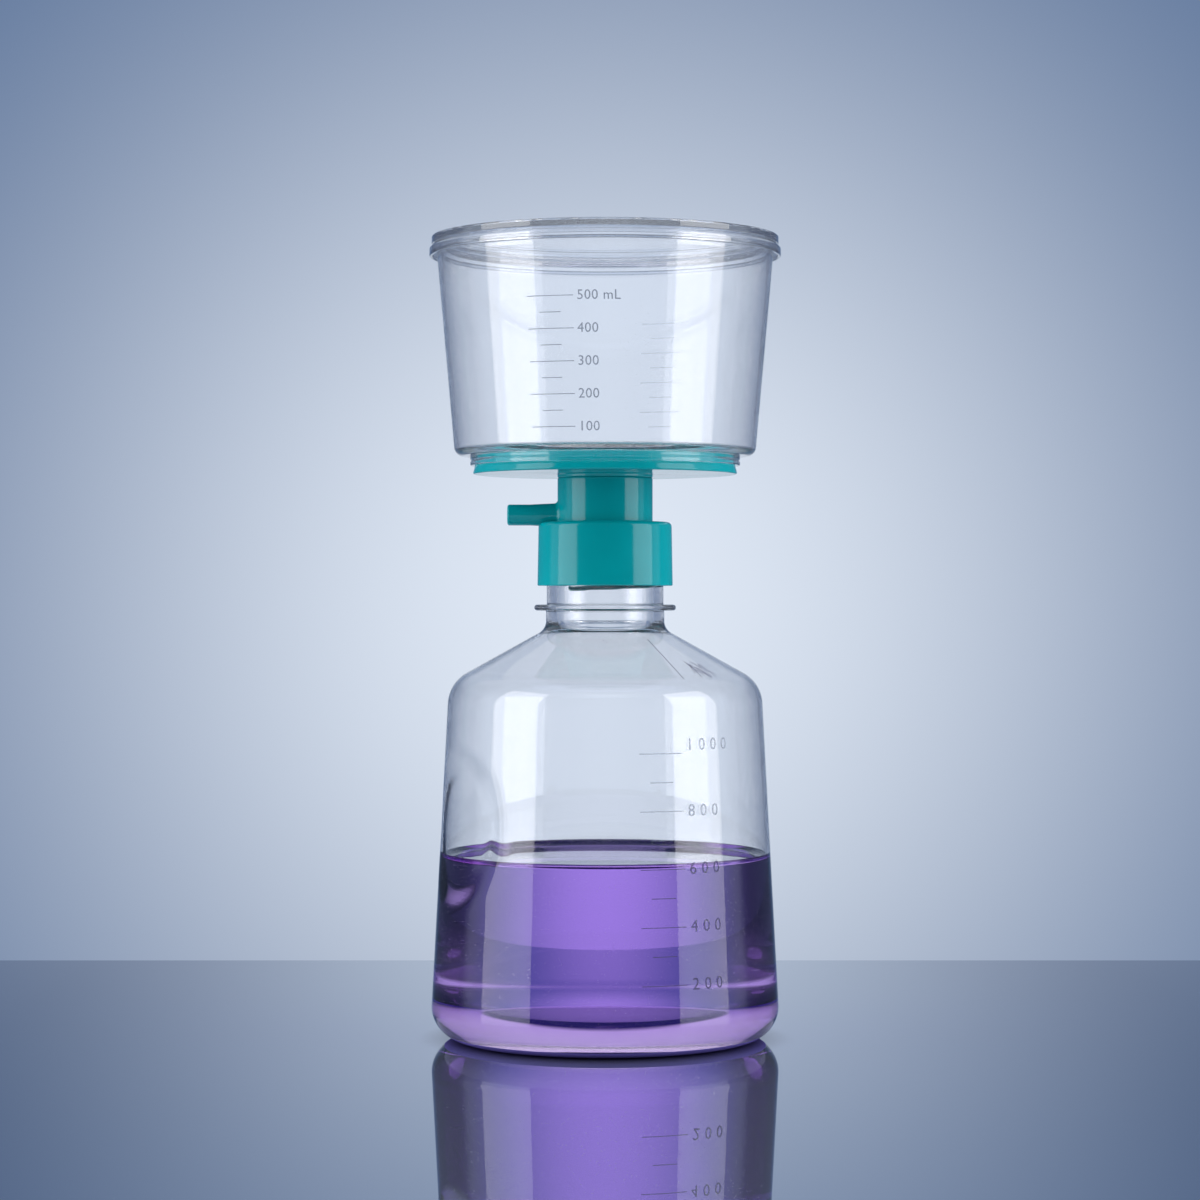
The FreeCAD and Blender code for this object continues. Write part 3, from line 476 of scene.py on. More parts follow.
def lathe(points, angles=None, shape=None):
    """Vertices and faces of a closed outline turned about the Z axis."""
    angles = around_turn() if angles is None else angles
    outline = np.array([point[:] for point in points])
    radius, height = outline[:, 0], outline[:, 1]
    grid = np.empty((len(angles), len(outline), 3))
    grid[..., 0] = np.cos(angles)[:, None] * radius
    grid[..., 1] = np.sin(angles)[:, None] * radius
    grid[..., 2] = height
    if shape:
        grid = shape(grid.reshape(-1, 3)).reshape(grid.shape)
    vertices = [tuple(place) for place in grid.reshape(-1, 3)]
    turns, count = len(angles), len(outline)
    index = np.arange(turns * count).reshape(turns, count)
    for column in np.flatnonzero(radius <= 0):
        index[:, column] = column
    faces = []
    for row in range(turns):
        after = (row + 1) % turns
        for column in range(count):
            beside = (column + 1) % count
            ring = [index[row][column], index[after][column]]
            ring += [index[after][beside], index[row][beside]]
            face = list(dict.fromkeys(int(corner) for corner in ring))
            if len(face) > 2:
                faces.append(face)
    return vertices, faces


def band(first, second, count):
    """Faces between two rings of count vertices, each given by its first vertex."""
    return [
        [first + step, first + (step + 1) % count, second + (step + 1) % count, second + step]
        for step in range(count)
    ]


def placed_object(name, data):
    """A new object in the scene."""
    placed = bpy.data.objects.new(name, data)
    bpy.context.scene.collection.objects.link(placed)
    return placed


def make_piece(name, parts, finish_names, body, replaces=(), slot=None, sharp=None):
    """One object from lists of vertices and faces, riding on a CAD body."""
    vertices, faces = [], []
    for part_vertices, part_faces in parts:
        first = len(vertices)
        vertices += [tuple(place) for place in part_vertices]
        faces += [[first + corner for corner in face] for face in part_faces]
    mesh = bpy.data.meshes.new(name)
    mesh.from_pydata(vertices, [], faces)
    work = bmesh.new()
    work.from_mesh(mesh)
    loose = [vertex for vertex in work.verts if not vertex.link_faces]
    bmesh.ops.delete(work, geom=loose, context="VERTS")
    bmesh.ops.recalc_face_normals(work, faces=work.faces)
    work.to_mesh(mesh)
    work.free()
    mesh.shade_smooth()
    if sharp:
        mesh.set_sharp_from_angle(angle=sharp)
    for finish in finish_names:
        mesh.materials.append(finishes[finish])
    piece = placed_object(name, mesh)
    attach(piece, body)
    if replaces:
        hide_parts(*replaces)
    return piece


def smooth_step(value, low, high):
    """0 below low, 1 above high, and a smooth rise between them."""
    part = np.clip((value - low) / (high - low), 0, 1)
    return part * part * (3 - 2 * part)


def ridge(points, thread, start, turns):
    """How much of the thread's depth stands at each point, from 0 to 1."""
    angle = np.arctan2(points[:, 1], points[:, 0]) - thread.start_angle
    part = np.mod(angle / (2 * math.pi), 1)
    fade = thread.run_out / (2 * math.pi)
    height = np.zeros(len(points))
    for lap in range(math.ceil(turns)):
        along = part + lap
        off = np.abs(points[:, 2] - start - thread.pitch * along)
        flank = 1 - smooth_step(off, thread.crest_width / 2, thread.root_width / 2)
        ends = smooth_step(along, 0, fade) * (1 - smooth_step(along, turns - fade, turns))
        height = np.maximum(height, flank * ends)
    return height


def from_axis(points):
    """Distance of each point from the Z axis."""
    return np.hypot(points[:, 0], points[:, 1])


def widened(points, where, amount):
    """The points moved away from the Z axis by amount, where asked."""
    factor = 1 + np.where(where, amount, 0) / np.maximum(from_axis(points), 1e-9)
    points[:, :2] *= factor[:, None]
    return points


# ---------------------------------------------------------------- shader nodes


def feed(tree, node, inputs):
    """Sets inputs of a node, or links them where the value is a socket."""
    for label, value in inputs.items():
        if isinstance(value, bpy.types.NodeSocket):
            tree.links.new(value, node.inputs[label])
        else:
            node.inputs[label].default_value = value


def spaced(inputs):
    """The inputs named as sockets are, with a space for each underscore."""
    return {label.replace("_", " "): value for label, value in inputs.items()}


def add_node(tree, kind, inputs=None, **settings):
    """A shader node with its settings made and its inputs fed."""
    node = tree.nodes.new(kind)
    for name, value in settings.items():
        setattr(node, name, value)
    feed(tree, node, inputs or {})
    return node


def maths(tree, operation, *values, clamp=False):
    """The result of a Math node."""
    settings = {"operation": operation, "use_clamp": clamp}
    return add_node(tree, "ShaderNodeMath", dict(enumerate(values)), **settings).outputs[0]


def layered(tree, base, *layers):
    """The sum of base and of each mask times its share."""
    for mask, share in layers:
        base = maths(tree, "MULTIPLY_ADD", mask, share, base)
    return base


def between(tree, value, low, high, start=0.0, end=1.0):
    """value taken smoothly from low to high onto start to end."""
    inputs = {"Value": value, "From Min": low, "From Max": high, "To Min": start, "To Max": end}
    node = add_node(tree, "ShaderNodeMapRange", inputs, interpolation_type="SMOOTHSTEP")
    return node.outputs["Result"]


def blended(tree, factor, first, second, clamp=True):
    """A mix of two colours."""
    settings = {"data_type": "RGBA", "clamp_factor": clamp}
    node = add_node(tree, "ShaderNodeMix", {"Factor": factor}, **settings)
    places = [place for place, socket in enumerate(node.inputs) if socket.type == "RGBA"]
    feed(tree, node, dict(zip(places, (first, second))))
    return next(socket for socket in node.outputs if socket.type == "RGBA")


def noise(tree, vector, scale, detail=2.0):
    """The value of a Noise Texture."""
    inputs = {"Vector": vector, "Scale": scale, "Detail": detail}
    return add_node(tree, "ShaderNodeTexNoise", inputs).outputs["Fac"]


def round_axis(tree, position):
    """X, distance from the Z axis, and Z of a position."""
    x, y, z = add_node(tree, "ShaderNodeSeparateXYZ", {"Vector": position}).outputs
    flat = add_node(tree, "ShaderNodeCombineXYZ", {"X": x, "Y": y}).outputs["Vector"]
    reach = add_node(tree, "ShaderNodeVectorMath", {0: flat}, operation="LENGTH").outputs["Value"]
    return x, reach, z


FLOAT, COLOUR = "NodeSocketFloat", "NodeSocketColor"


def effect_group(name, inputs, outputs):
    """A node group that starts from a position: the group, its inputs and its output node."""
    group = bpy.data.node_groups.new(name, "ShaderNodeTree")
    group.interface.new_socket("Position", in_out="INPUT", socket_type="NodeSocketVector")
    for label, kind, default in inputs:
        socket = group.interface.new_socket(label, in_out="INPUT", socket_type=kind)
        socket.default_value = default
    for label, kind in outputs:
        group.interface.new_socket(label, in_out="OUTPUT", socket_type=kind)
    return group, group.nodes.new("NodeGroupInput").outputs, group.nodes.new("NodeGroupOutput")


def ripple_group():
    """Slow waves that a moulded wall keeps, with a trace of fine grain."""
    inputs = [("Wave scale", FLOAT, 60.0), ("Grain", FLOAT, 0.1)]
    group, source, target = effect_group("Moulding ripple", inputs, [("Height", FLOAT)])
    wave = noise(group, source["Position"], source["Wave scale"], detail=1.0)
    grain = noise(group, source["Position"], GRAIN_SCALE)
    feed(group, target, {"Height": layered(group, wave, (grain, source["Grain"]))})
    return group


def dust_group():
    """Sparse specks of dust and a faint haze."""
    inputs = [("Scale", FLOAT, 900.0), ("Amount", FLOAT, 0.5)]
    group, source, target = effect_group("Dust", inputs, [("Specks", FLOAT), ("Haze", FLOAT)])
    cell_inputs = {"Vector": source["Position"], "Scale": source["Scale"], "Randomness": 1.0}
    cells = add_node(group, "ShaderNodeTexVoronoi", cell_inputs).outputs["Distance"]
    patches = noise(group, source["Position"], 40.0, detail=3.0)
    size = maths(group, "MULTIPLY", patches, source["Amount"])
    size = maths(group, "MULTIPLY", size, LARGEST_SPECK)
    specks = maths(group, "LESS_THAN", cells, size)
    feed(group, target, {"Specks": specks, "Haze": between(group, patches, 0.4, 0.75)})
    return group


def scuff_group():
    """Fine handling scratches, in two crossing directions."""
    inputs = [("Amount", FLOAT, 0.5)]
    group, source, target = effect_group("Handling scuffs", inputs, [("Mask", FLOAT)])
    crossing = []
    for tilt, stretch in SCUFF_DIRECTIONS:
        turned = {"Vector": source["Position"], "Rotation": (tilt, tilt, 0), "Scale": stretch}
        lines = add_node(group, "ShaderNodeMapping", turned).outputs["Vector"]
        crossing.append(between(group, noise(group, lines, 1.0, detail=1.0), 0.70, 0.78))
    patches = between(group, noise(group, source["Position"], 55.0), 0.5, 0.72)
    mask = maths(group, "MULTIPLY", maths(group, "MAXIMUM", *crossing), patches)
    feed(group, target, {"Mask": maths(group, "MULTIPLY", mask, source["Amount"])})
    return group


def drift_group():
    """A slow drift between two colours, as pigment gives."""
    inputs = [
        ("Colour", COLOUR, WHITE),
        ("Drift colour", COLOUR, WHITE),
        ("Scale", FLOAT, 30.0),
        ("Amount", FLOAT, 0.5),
    ]
    group, source, target = effect_group("Colour drift", inputs, [("Colour", COLOUR)])
    slow = noise(group, source["Position"], source["Scale"], detail=4.0)
    factor = maths(group, "MULTIPLY", between(group, slow, 0.3, 0.7), source["Amount"])
    mixed = blended(group, factor, source["Colour"], source["Drift colour"])
    feed(group, target, {"Colour": mixed})
    return group


GROUP_MAKERS = {
    "ripple": ripple_group,
    "dust": dust_group,
    "scuffs": scuff_group,
    "drift": drift_group,
}
groups = {}
finishes = {}


def placed_group(tree, name, position, **inputs):
    """The outputs of an effect group placed in a material."""
    if name not in groups:
        groups[name] = GROUP_MAKERS[name]()
    values = {"Position": position, **spaced(inputs)}
    return add_node(tree, "ShaderNodeGroup", values, node_tree=groups[name]).outputs


# ---------------------------------------------------------------- finishes


def new_finish(name):
    """A material, its tree, and a position in metres."""
    material = bpy.data.materials.new(name)
    material.use_nodes = True
    tree = material.node_tree
    return material, tree, add_node(tree, "ShaderNodeTexCoord").outputs["Object"]


def set_skin(tree, **inputs):
    """Feeds the Principled BSDF of a material."""
    feed(tree, tree.nodes["Principled BSDF"], spaced(inputs))


def bumped(tree, height, strength, distance):
    """A normal that a height bumps."""
    inputs = {"Height": height, "Strength": strength, "Distance": distance}
    return add_node(tree, "ShaderNodeBump", inputs).outputs["Normal"]


def let_lamps_through(tree, tint):
    """Lets lamp light pass through clear material, so that it casts a pale shadow."""
    shadow = add_node(tree, "ShaderNodeLightPath").outputs["Is Shadow Ray"]
    skin = tree.nodes["Principled BSDF"].outputs["BSDF"]
    open_way = add_node(tree, "ShaderNodeBsdfTransparent", {"Color": tint}).outputs["BSDF"]
    mixed = add_node(tree, "ShaderNodeMixShader", {0: shadow, 1: skin, 2: open_way})
    feed(tree, tree.nodes["Material Output"], {"Surface": mixed.outputs["Shader"]})


def absorb(tree, tint, density):
    """Colour that builds up with the depth of the material."""
    volume = add_node(tree, "ShaderNodeVolumeAbsorption", {"Color": tint, "Density": density})
    feed(tree, tree.nodes["Material Output"], {"Volume": volume.outputs["Volume"]})


def clear_plastic(
    name, ripple, scuffs, cover, index=PLASTIC_INDEX, gloss=1.0, wet_to=BELOW_ALL, coat_from=ABOVE_ALL
):
    """Clear injection-moulded plastic, with dust and scuffs.

    cover is its Alpha, which is 1 up to the level wet_to. Its gloss coat starts at coat_from."""
    colours = bpy.context.scene.finish_colours
    material, tree, position = new_finish(name)
    level = round_axis(tree, position)[2]
    dust = placed_group(tree, "dust", position, Scale=700.0, Amount=0.6)
    marks = placed_group(tree, "scuffs", position, Amount=scuffs)
    waves = placed_group(tree, "ripple", position, Wave_scale=55.0, Grain=0.01)
    wear = [(marks["Mask"], 0.25), (dust["Specks"], 0.3), (dust["Haze"], 0.02)]
    faint = maths(tree, "MULTIPLY", dust["Specks"], SPECK_STRENGTH)
    set_skin(
        tree,
        Transmission_Weight=1.0,
        IOR=index,
        Specular_Tint=(gloss, gloss, gloss, 1),
        Alpha=between(tree, level, wet_to, wet_to + WET_FADE, 1.0, cover),
        Coat_Weight=between(tree, level, coat_from, coat_from + COAT_FADE),
        Roughness=layered(tree, 0.012, *wear),
        Base_Color=blended(tree, faint, colours.clear, colours.dust),
        Normal=bumped(tree, waves["Height"], 1.0, ripple),
    )
    let_lamps_through(tree, colours.clear)
    return material


def stippled_underside_painted_shade():
    """The bottle's stippled underside, with painted shade in its raised middle and at its edge
    on the table.
    """
    colours, sizes = bpy.context.scene.finish_colours, bpy.context.scene.bottle_sizes
    material, tree, position = new_finish("stippled_underside_painted_shade")
    reach = round_axis(tree, position)[1]
    fade = sizes.underside_fade
    raised = sizes.push_up_radius
    # Painted shade: dark in the raised middle and at the edge on the table, over the pale underside.
    middle = between(tree, reach, raised + fade * 3, raised + fade)
    land = sizes.foot_radius - sizes.heel_radius
    rim = between(tree, reach, land - fade * 0.8, land + fade * 0.4)
    shown = blended(tree, middle, colours.underside, colours.underside_painted_shade)
    shown = blended(tree, rim, shown, colours.contact_edge_painted_shade)
    grain = noise(tree, position, GRAIN_SCALE)
    shade = maths(tree, "MULTIPLY", grain, 0.08)
    set_skin(
        tree,
        IOR=PLASTIC_INDEX,
        Specular_IOR_Level=0.0,
        Base_Color=blended(tree, shade, shown, colours.underside_painted_shade),
        Roughness=layered(tree, 0.3, (grain, 0.1)),
    )
    return material


def violet_liquid(name, gloss):
    """Clear violet filtrate, with painted shades on its climbing edge."""
    colours, sizes = bpy.context.scene.finish_colours, bpy.context.scene.bottle_sizes
    material, tree, position = new_finish(name)
    x, reach, z = round_axis(tree, position)
    wall = body_radius(sizes, FILL_HEIGHT) - sizes.wall
    level = liquid_level(sizes, wall)
    # Painted shade: the climbing edge near the wall is darkened, toward one shade in front and behind
    # and another at the sides.
    climbing = between(tree, z, level + PAINTED_CLIMB_SHADE_FADE / 4, level + PAINTED_CLIMB_SHADE_FADE)
    inside = between(tree, reach, wall, wall - PAINTED_CLIMB_SHADE_FADE / 4)
    sides = [wall * share for share in PAINTED_CLIMB_SHADE_SIDES]
    beside = between(tree, maths(tree, "ABSOLUTE", x), *sides)
    edge = blended(tree, beside, colours.meniscus, colours.meniscus_side_painted_shade)
    swirl = placed_group(tree, "drift", position, Colour=WHITE, Drift_colour=(0.99, 0.98, 1, 1))
    rim = maths(tree, "MULTIPLY", climbing, inside)
    set_skin(
        tree,
        Transmission_Weight=1.0,
        IOR=WATER_INDEX,
        Roughness=0.0,
        Specular_Tint=(gloss, gloss, gloss, 1),
        Base_Color=blended(tree, rim, swirl["Colour"], edge),
    )
    let_lamps_through(tree, colours.liquid)
    absorb(tree, FILTRATE_DEPTH, FILTRATE_DENSITY)
    return material


def teal_plastic():
    """Teal polypropylene with a satin skin."""
    colours = bpy.context.scene.finish_colours
    material, tree, position = new_finish("teal_plastic")
    tints = {"Colour": colours.teal, "Drift_colour": colours.deep_teal}
    drift = placed_group(tree, "drift", position, Scale=45.0, Amount=0.35, **tints)
    dust = placed_group(tree, "dust", position, Scale=1100.0, Amount=0.5)
    marks = placed_group(tree, "scuffs", position, Amount=0.5)
    grain = placed_group(tree, "ripple", position, Wave_scale=120.0, Grain=0.25)
    speck = maths(tree, "MULTIPLY", dust["Specks"], SPECK_STRENGTH)
    set_skin(
        tree,
        IOR=PLASTIC_INDEX,
        Specular_IOR_Level=0.34,
        Base_Color=blended(tree, speck, drift["Colour"], DUSTY_TEAL),
        Roughness=layered(tree, 0.08, (marks["Mask"], 0.2), (dust["Haze"], 0.04)),
        Normal=bumped(tree, grain["Height"], 0.5, 0.00004),
    )
    return material


def plain_plastic(name, tint, roughness, grain_scale, grain_depth):
    """An opaque pale finish with a slow drift of shade and a fine grain."""
    material, tree, position = new_finish(name)
    tints = {"Colour": tint, "Drift_colour": bpy.context.scene.finish_colours.pale_shade}
    drift = placed_group(tree, "drift", position, Scale=grain_scale / 10, Amount=0.6, **tints)
    dust = placed_group(tree, "dust", position, Scale=1000.0, Amount=0.4)
    grain = noise(tree, position, grain_scale, detail=4.0)
    set_skin(
        tree,
        Base_Color=drift["Colour"],
        Roughness=layered(tree, roughness, (dust["Haze"], 0.08)),
        Normal=bumped(tree, grain, 0.6, grain_depth),
    )
    return material


def printed_ink(name, tint, cover):
    """Thin print whose cover breaks up a little."""
    material, tree, position = new_finish(name)
    patches = noise(tree, position, 900.0, detail=3.0)
    dust = placed_group(tree, "dust", position, Scale=1000.0, Amount=0.3)
    set_skin(
        tree,
        Base_Color=tint,
        Alpha=between(tree, patches, 0.25, 0.6, cover * 0.6, cover),
        Roughness=layered(tree, 0.4, (dust["Haze"], 0.1)),
    )
    return material


def make_finishes():
    """Every finish of the unit, by name."""
    colours = bpy.context.scene.finish_colours
    # Material, ripple, scuffs, cover, and what else sets it apart.
    clear = {
        "bottle": ("bottle_plastic", 0.00004, 0.5, 0.94, {"wet_to": FILL_HEIGHT}),
        "wet_wall": ("wet_wall", 0.00004, 0.2, 1.0, {"gloss": 0.0}),
        "funnel": ("funnel_plastic", 0.00003, 0.35, 0.93, {"coat_from": FUNNEL_TOP - RIM_COAT}),
        "lid": ("lid_plastic", 0.00002, 0.35, 0.9, {"coat_from": 0.0}),
        "bubble": ("bubble_film", 0.00001, 0.0, 0.8, {"index": FILM_INDEX}),
    }
    for finish, (name, ripple, scuffs, cover, rest) in clear.items():
        finishes[finish] = clear_plastic(name, ripple, scuffs, cover, **rest)
    # Material, colour, roughness, and scale and depth of the grain.
    plain = {
        "white": ("white_plastic", colours.white, 0.4, 800.0, 0.00002),
        "membrane": ("membrane_film", colours.membrane, 0.75, 2500.0, 0.00003),
        "gasket": ("gasket_rubber", colours.gasket, 0.55, 900.0, 0.00003),
        "fibre": ("plug_fibre", colours.fibre, 0.9, 1800.0, 0.0002),
    }
    for finish, look in plain.items():
        finishes[finish] = plain_plastic(*look)
    # Material, colour and cover.
    inks = {
        "ink": ("scale_ink", colours.ink, 0.75),
        "faint_ink": ("faint_scale_ink", colours.ink, 0.42),
        "moulded": ("moulded_scale", colours.ink, 0.5),
        # The raised scale over the liquid takes a painted darker shade.
        "wet_moulded": ("wet_moulded_scale", colours.scratch_and_painted_wet_shade, 0.7),
        "scratch": ("scratch", colours.scratch_and_painted_wet_shade, 0.85),
    }
    for finish, look in inks.items():
        finishes[finish] = printed_ink(*look)
    finishes["underside"] = stippled_underside_painted_shade()
    finishes["filtrate"] = violet_liquid("filtrate", gloss=0.0)
    finishes["surface"] = violet_liquid("filtrate_surface", gloss=1.0)
    finishes["teal"] = teal_plastic()


# ---------------------------------------------------------------- bottle and liquid


def body_radius(sizes, height):
    """Outer radius of the bottle's straight wall at a height."""
    return sizes.foot_radius - sizes.body_draft / sizes.shoulder_height * height


def shoulder_height_at(sizes, radius):
    """Height of the outside of the shoulder at a radius."""
    top = sizes.foot_radius - sizes.body_draft
    root = sizes.neck_radius + sizes.neck_root_step
    slope = sizes.shoulder_rise / (top - root)
    return sizes.shoulder_height + sizes.shoulder_rise - slope * (radius - root)


def press_grip(points, sizes, inset):
    """Pushes the wall inside the grip's circle onto the grip's curved floor.

    inset is how far inside the outer skin the points' wall lies."""
    lean = math.atan2(sizes.body_draft, sizes.shoulder_height)
    axes = Matrix.Rotation(sizes.grip_angle, 3, "Z") @ Matrix.Rotation(-lean, 3, "Y")
    axes = np.array(axes)
    reach = body_radius(sizes, sizes.grip_height)
    angle = sizes.grip_angle
    middle = np.array([reach * math.cos(angle), reach * math.sin(angle), sizes.grip_height])
    out, across, up = ((points - middle) @ axes).T
    floor_radius = sizes.grip_floor_radius - inset
    drop = np.sqrt(np.maximum(floor_radius**2 - across**2, 0))
    floor = drop - sizes.grip_depth - sizes.grip_floor_radius
    away = np.hypot(across, up)
    rim = sizes.grip_radius + inset
    share = 1 - smooth_step(away, rim - sizes.grip_edge, rim + sizes.grip_edge / 4)
    near = out > -sizes.grip_radius
    push = np.where(near, np.minimum(floor - out, 0) * share, 0)
    return points + push[:, None] * axes[:, 0]


def grip_span(sizes):
    """The grip's angle, and half the angle that it takes up, with room to spare."""
    reach = body_radius(sizes, sizes.grip_height)
    half = math.asin((sizes.grip_radius + sizes.grip_edge) / reach)
    return sizes.grip_angle, half + TURN_STEP


def bottle_inside(sizes, out=0.0):
    """Corners of the bottle's inside from its floor to its neck, moved out into the wall."""
    top = sizes.foot_radius - sizes.body_draft - sizes.wall + out
    foot = body_radius(sizes, sizes.base) - sizes.wall + out
    bore = sizes.neck_radius - sizes.neck_wall + out
    floor = sizes.base - out
    return [
        (0, sizes.push_up + floor),
        (sizes.push_up_radius, sizes.push_up + floor, BASE_ROUND),
        (foot, floor, sizes.inner_heel_radius),
        (top, shoulder_height_at(sizes, top) - sizes.wall, sizes.shoulder_blend - sizes.wall),
        (bore, shoulder_height_at(sizes, bore) - sizes.wall, sizes.neck_root_blend + sizes.wall),
    ]


def bottle_outline(sizes):
    """Corners of the bottle's section: up the outside and down the inside."""
    foot = sizes.foot_radius - sizes.heel_radius
    top = sizes.foot_radius - sizes.body_draft
    root = sizes.neck_radius + sizes.neck_root_step
    ring_top = sizes.ring_foot + sizes.ring_thickness
    ring_edge = sizes.neck_radius + sizes.ring_width
    outside = [
        (0, sizes.push_up),
        (sizes.push_up_radius, sizes.push_up, BASE_ROUND),
        (foot - sizes.foot_land, 0, BASE_ROUND),
        (sizes.foot_radius, 0, sizes.heel_radius),
        (top, sizes.shoulder_height, sizes.shoulder_blend),
        (root, sizes.shoulder_height + sizes.shoulder_rise, sizes.neck_root_blend),
        (root, sizes.ring_foot),
        (ring_edge, sizes.ring_foot, sizes.ring_bevel),
        (ring_edge, ring_top, sizes.ring_bevel),
        (sizes.neck_radius, ring_top),
        (sizes.neck_radius, BOTTLE_TOP, sizes.lip_bevel),
        (sizes.neck_radius - sizes.neck_wall, BOTTLE_TOP),
    ]
    return outside + bottle_inside(sizes)[::-1]


def bottle_skin(face, sizes):
    """Which of the bottle's finishes a face has: 0 dry or outer, 1 wet, 2 underside."""
    outward = Vector((face.center.x, face.center.y, 0)).normalized()
    inner = face.normal.z > face.normal.dot(outward)
    if inner and face.center.z < FILL_HEIGHT:
        return 1
    low = face.center.z < sizes.push_up + sizes.base / 2
    return 2 if low and face.normal.z < sizes.underside_tilt else 0


def make_bottle(context):
    """Receiver bottle with its thumb grip and neck thread."""
    sizes, thread = context.scene.bottle_sizes, context.scene.thread_sizes
    points = supported(rounded(bottle_outline(sizes), SOFT))
    reach = sizes.grip_radius + sizes.grip_edge + sizes.wall
    grip = (sizes.grip_height - reach, sizes.grip_height + reach)
    points = refined(points, *grip, BOTTLE_GRIP_STEP)
    start = BOTTLE_TOP - thread.start_below_lip
    low = start - thread.root_width
    high = start + thread.pitch * thread.neck_turns + thread.root_width
    points = refined(points, low, high, NECK_THREAD_STEP)

    def shape(places):
        radius = from_axis(places)
        outer = radius > body_radius(sizes, places[:, 2]) - sizes.wall / 2
        gripped = np.where(
            outer[:, None], press_grip(places, sizes, 0), press_grip(places, sizes, sizes.wall)
        )
        skin = (radius > sizes.neck_radius - thread.clearance) & (places[:, 2] > low)
        height = ridge(places, thread, start, thread.neck_turns) * thread.depth
        return widened(gripped, skin, height)

    parts = [lathe(points, around_turn(*grip_span(sizes), BOTTLE_GRIP_TURN), shape)]
    skins = ["bottle", "wet_wall", "underside"]
    piece = make_piece("bottle_shell", parts, skins, "bottle", ["bottle"], "clear_plastic")
    for face in piece.data.polygons:
        face.material_index = bottle_skin(face, sizes)


def liquid_level(sizes, from_wall):
    """Height of the liquid's surface at a distance from the wall, which it climbs."""
    climb = sizes.meniscus_height * (1 - math.exp(-from_wall / sizes.meniscus_width))
    return FILL_HEIGHT - climb


def make_filtrate(context):
    """The liquid, its skin just inside the bottle's wall, with a meniscus round its edge."""
    sizes = context.scene.bottle_sizes
    bite = sizes.wall / 10
    wall = body_radius(sizes, FILL_HEIGHT) - sizes.wall + bite
    corners = bottle_inside(sizes, bite)[:3]
    lower = rounded(corners + [(wall, FILL_HEIGHT, 0), (0, FILL_HEIGHT)], SOFT)[:-1]
    first = sizes.meniscus_width * CLIMB_START
    fades = [first * CLIMB_GROWTH**step for step in range(CLIMB_RINGS)]
    surface = [Vector((wall - fade, liquid_level(sizes, fade))) for fade in fades]
    level = liquid_level(sizes, wall)
    inner = [Vector((wall * share, level)) for share in LEVEL_RINGS]
    points = supported(lower + surface + inner)
    reach = sizes.grip_radius + sizes.grip_edge + sizes.wall
    points = refined(points, sizes.grip_height - reach, FILL_HEIGHT, LIQUID_GRIP_STEP)

    def shape(places):
        radius = from_axis(places)
        skin = body_radius(sizes, places[:, 2]) - sizes.wall + bite
        on_wall = places.copy()
        on_wall[:, :2] *= (skin / np.maximum(radius, 1e-9))[:, None]
        pushed = press_grip(on_wall, sizes, sizes.wall - bite) - on_wall
        share = smooth_step(radius / skin, *GRIP_SHARES)
        return places + pushed * share[:, None]

    parts = [lathe(points, around_turn(*grip_span(sizes), LIQUID_GRIP_TURN), shape)]
    skins = ["filtrate", "surface"]
    piece = make_piece("filtrate_liquid", parts, skins, "bottle", ["filtrate"], "filtrate")
    for face in piece.data.polygons:
        face.material_index = int(face.normal.z > 0.5 and face.center.z > FILL_HEIGHT / 2)


# ---------------------------------------------------------------- teal mouldings


def arm_part(head):
    """The side arm: a bored tube whose root flares into the stem.

    A ring has its distance along the arm, its radius and how much it follows the stem's curve."""
    axis = COLLAR_ROOF + head.collar_roof + head.arm_rise
    tip, bore, turned = head.arm_tip_radius, head.arm_bore, head.arm_round
    root = tip + head.arm_draft
    end = ARM_TIP - head.stem_radius
    straight = end - head.arm_land
    bends = [math.pi / 2 * step / ARM_BENDS for step in range(ARM_BENDS + 1)]
    swings = [(1 - math.cos(bend), 1 - math.sin(bend)) for bend in bends]
    rings = [(head.arm_root * out, root + head.arm_root * up, 1) for out, up in swings]
    middle = root - head.arm_draft * ARM_MIDDLE_DRAFT
    rings += [(straight / 2, middle, ARM_MIDDLE_WRAP), (straight, tip, 0)]
    rings += [(end - turned * up, tip - turned * out, 0) for out, up in swings]
    rings += [(end, bore + FINE, 0), (end - FINE, bore, 0), (-head.stem_wall / 2, bore, 0)]
    vertices, faces = [], []
    for reach, radius, wrap in rings:
        for side in range(ARM_SIDES):
            angle = 2 * math.pi * side / ARM_SIDES
            across, up = radius * math.cos(angle), radius * math.sin(angle)
            on_stem = math.sqrt(head.stem_radius**2 - across**2)
            start = on_stem * wrap + head.stem_radius * (1 - wrap)
            sunk = SOFT if reach == 0 else 0
            vertices.append((-(start + reach - sunk), across, axis + up))
    starts = range(0, len(rings) * ARM_SIDES, ARM_SIDES)
    for first, second in zip(starts, starts[1:]):
        faces += band(first, second, ARM_SIDES)
    faces += [list(range(first, first + ARM_SIDES)) for first in (starts[0], starts[-1])]
    return vertices, faces


